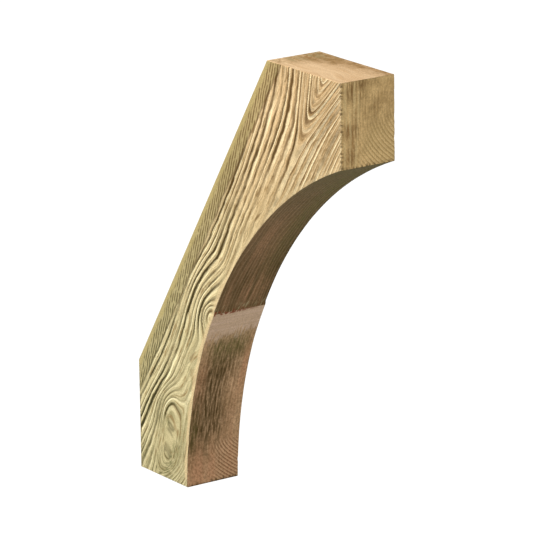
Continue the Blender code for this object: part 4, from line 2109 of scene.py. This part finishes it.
@dataclass(frozen=True)
class Studio:
    """A white room with soft light from the upper left, and the camera."""

    outline: Outline
    # Where the camera stands, and how far it is turned, nods and rolls
    yaw: float = 0.963303
    pitch: float = 0.277251
    roll: float = -0.012556
    distance: float = 10.6769
    target_x: float = 0.46418
    target_above_foot: float = 0.59993
    focal_pixels: float = 4487.2
    frame_pixels: int = 540
    sensor: float = 36.0
    sight: float = 200.0
    # Lamps aim at the bracket, at this share of its height above the origin
    lamps: tuple[Lamp, ...] = (
        Lamp("key", (-3.3, -3.6, 4.3), 1.2, 470.0, "#fff8ee"),
        Lamp("fill", (5.0, -1.6, 1.2), 2.5, 90.0, "#ffffff"),
        Lamp("rear", (-1.2, 5.0, 1.2), 2.5, 130.0, "#ffffff"),
    )
    aim_share: float = 1 / 3
    # The floor lies too low to show in the picture and only throws light up
    floor_below_foot: float = 0.9
    floor_size: float = 3.2
    floor_colour: str = "#fbfbfb"
    floor_roughness: float = 0.9
    # The camera sees the sky brighter than it lights
    sky_colour: str = "#ffffff"
    sky_light: float = 0.32
    sky_seen: float = 1.1

    def camera(self) -> None:
        """Make the camera at the viewing angle."""
        data = bpy.data.cameras.new("camera")
        data.sensor_width = self.sensor
        data.lens = self.focal_pixels / self.frame_pixels * self.sensor
        data.clip_end = self.sight
        camera = bpy.data.objects.new("camera", data)
        bpy.context.scene.collection.objects.link(camera)
        back = Vector((
            math.sin(self.yaw) * math.cos(self.pitch),
            -math.cos(self.yaw) * math.cos(self.pitch),
            math.sin(self.pitch),
        ))
        level = Vector((math.cos(self.yaw), math.sin(self.yaw), 0.0))
        upright = back.cross(level)
        right = math.cos(self.roll) * level + math.sin(self.roll) * upright
        up = -math.sin(self.roll) * level + math.cos(self.roll) * upright
        target = Vector((self.target_x, 0.0, self.outline.foot_z + self.target_above_foot))
        turned = Matrix((right, up, back)).transposed().to_4x4()
        turned.translation = target + back * self.distance
        camera.matrix_world = turned
        bpy.context.scene.camera = camera

    def world(self) -> None:
        """Make the white surroundings."""
        world = bpy.data.worlds.new("studio")
        bpy.context.scene.world = world
        world.use_nodes = True
        tree = world.node_tree
        tree.nodes.clear()
        seen = put(tree, "ShaderNodeLightPath", out="Is Camera Ray")
        strength = put(
            tree, "ShaderNodeMapRange",
            {"Value": seen, "To Min": self.sky_light, "To Max": self.sky_seen},
        )
        sky = put(
            tree, "ShaderNodeBackground", {"Color": linear(self.sky_colour), "Strength": strength}
        )
        out = tree.nodes.new("ShaderNodeOutputWorld")
        tree.links.new(sky, out.inputs["Surface"])

    def light(self, lamp: Lamp) -> None:
        """Add a lamp that faces the bracket.

        Args:
            lamp: The lamp's place and sizes.
        """
        data = bpy.data.lights.new(lamp.name, "AREA")
        data.size = lamp.side
        data.energy = lamp.power
        data.color = linear(lamp.colour)[:3]
        light = bpy.data.objects.new(lamp.name, data)
        bpy.context.scene.collection.objects.link(light)
        out = self.outline
        aim = Vector((out.projection / 2, 0.0, out.height * self.aim_share))
        light.location = lamp.place
        light.rotation_mode = "QUATERNION"
        light.rotation_quaternion = (aim - Vector(lamp.place)).to_track_quat("-Z", "Y")

    def floor(self) -> None:
        """Lay the pale floor."""
        mesh = bpy.data.meshes.new("floor")
        half = self.floor_size / 2
        z = self.outline.foot_z - self.floor_below_foot
        middle = self.outline.projection / 2
        corners = [
            (middle + x * half, y * half, z) for x, y in ((-1, -1), (1, -1), (1, 1), (-1, 1))
        ]
        mesh.from_pydata(corners, [], [(0, 1, 2, 3)])
        floor = bpy.data.objects.new("floor", mesh)
        bpy.context.scene.collection.objects.link(floor)
        material = bpy.data.materials.new("white studio floor, painted")
        material.use_nodes = True
        shader = material.node_tree.nodes["Principled BSDF"]
        shader.inputs["Base Color"].default_value = linear(self.floor_colour)
        shader.inputs["Roughness"].default_value = self.floor_roughness
        mesh.materials.append(material)

    def build(self) -> None:
        """Set the room up."""
        self.world()
        self.floor()
        for lamp in self.lamps:
            self.light(lamp)
        self.camera()
        bpy.context.scene.view_settings.view_transform = "Standard"


def main() -> None:
    """Build the bracket and the room, and report the piece."""
    logging.basicConfig(level=logging.INFO, format="%(name)s: %(message)s")
    outline = Outline.from_frame(NODE)
    piece = Casting(outline).build()
    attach(piece, BODY)
    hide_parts(NODE)
    piece.data.calc_loop_triangles()
    log.info("%s: %d triangles", piece.name, len(piece.data.loop_triangles))
    Studio(outline).build()


if __name__ == "__main__":
    main()
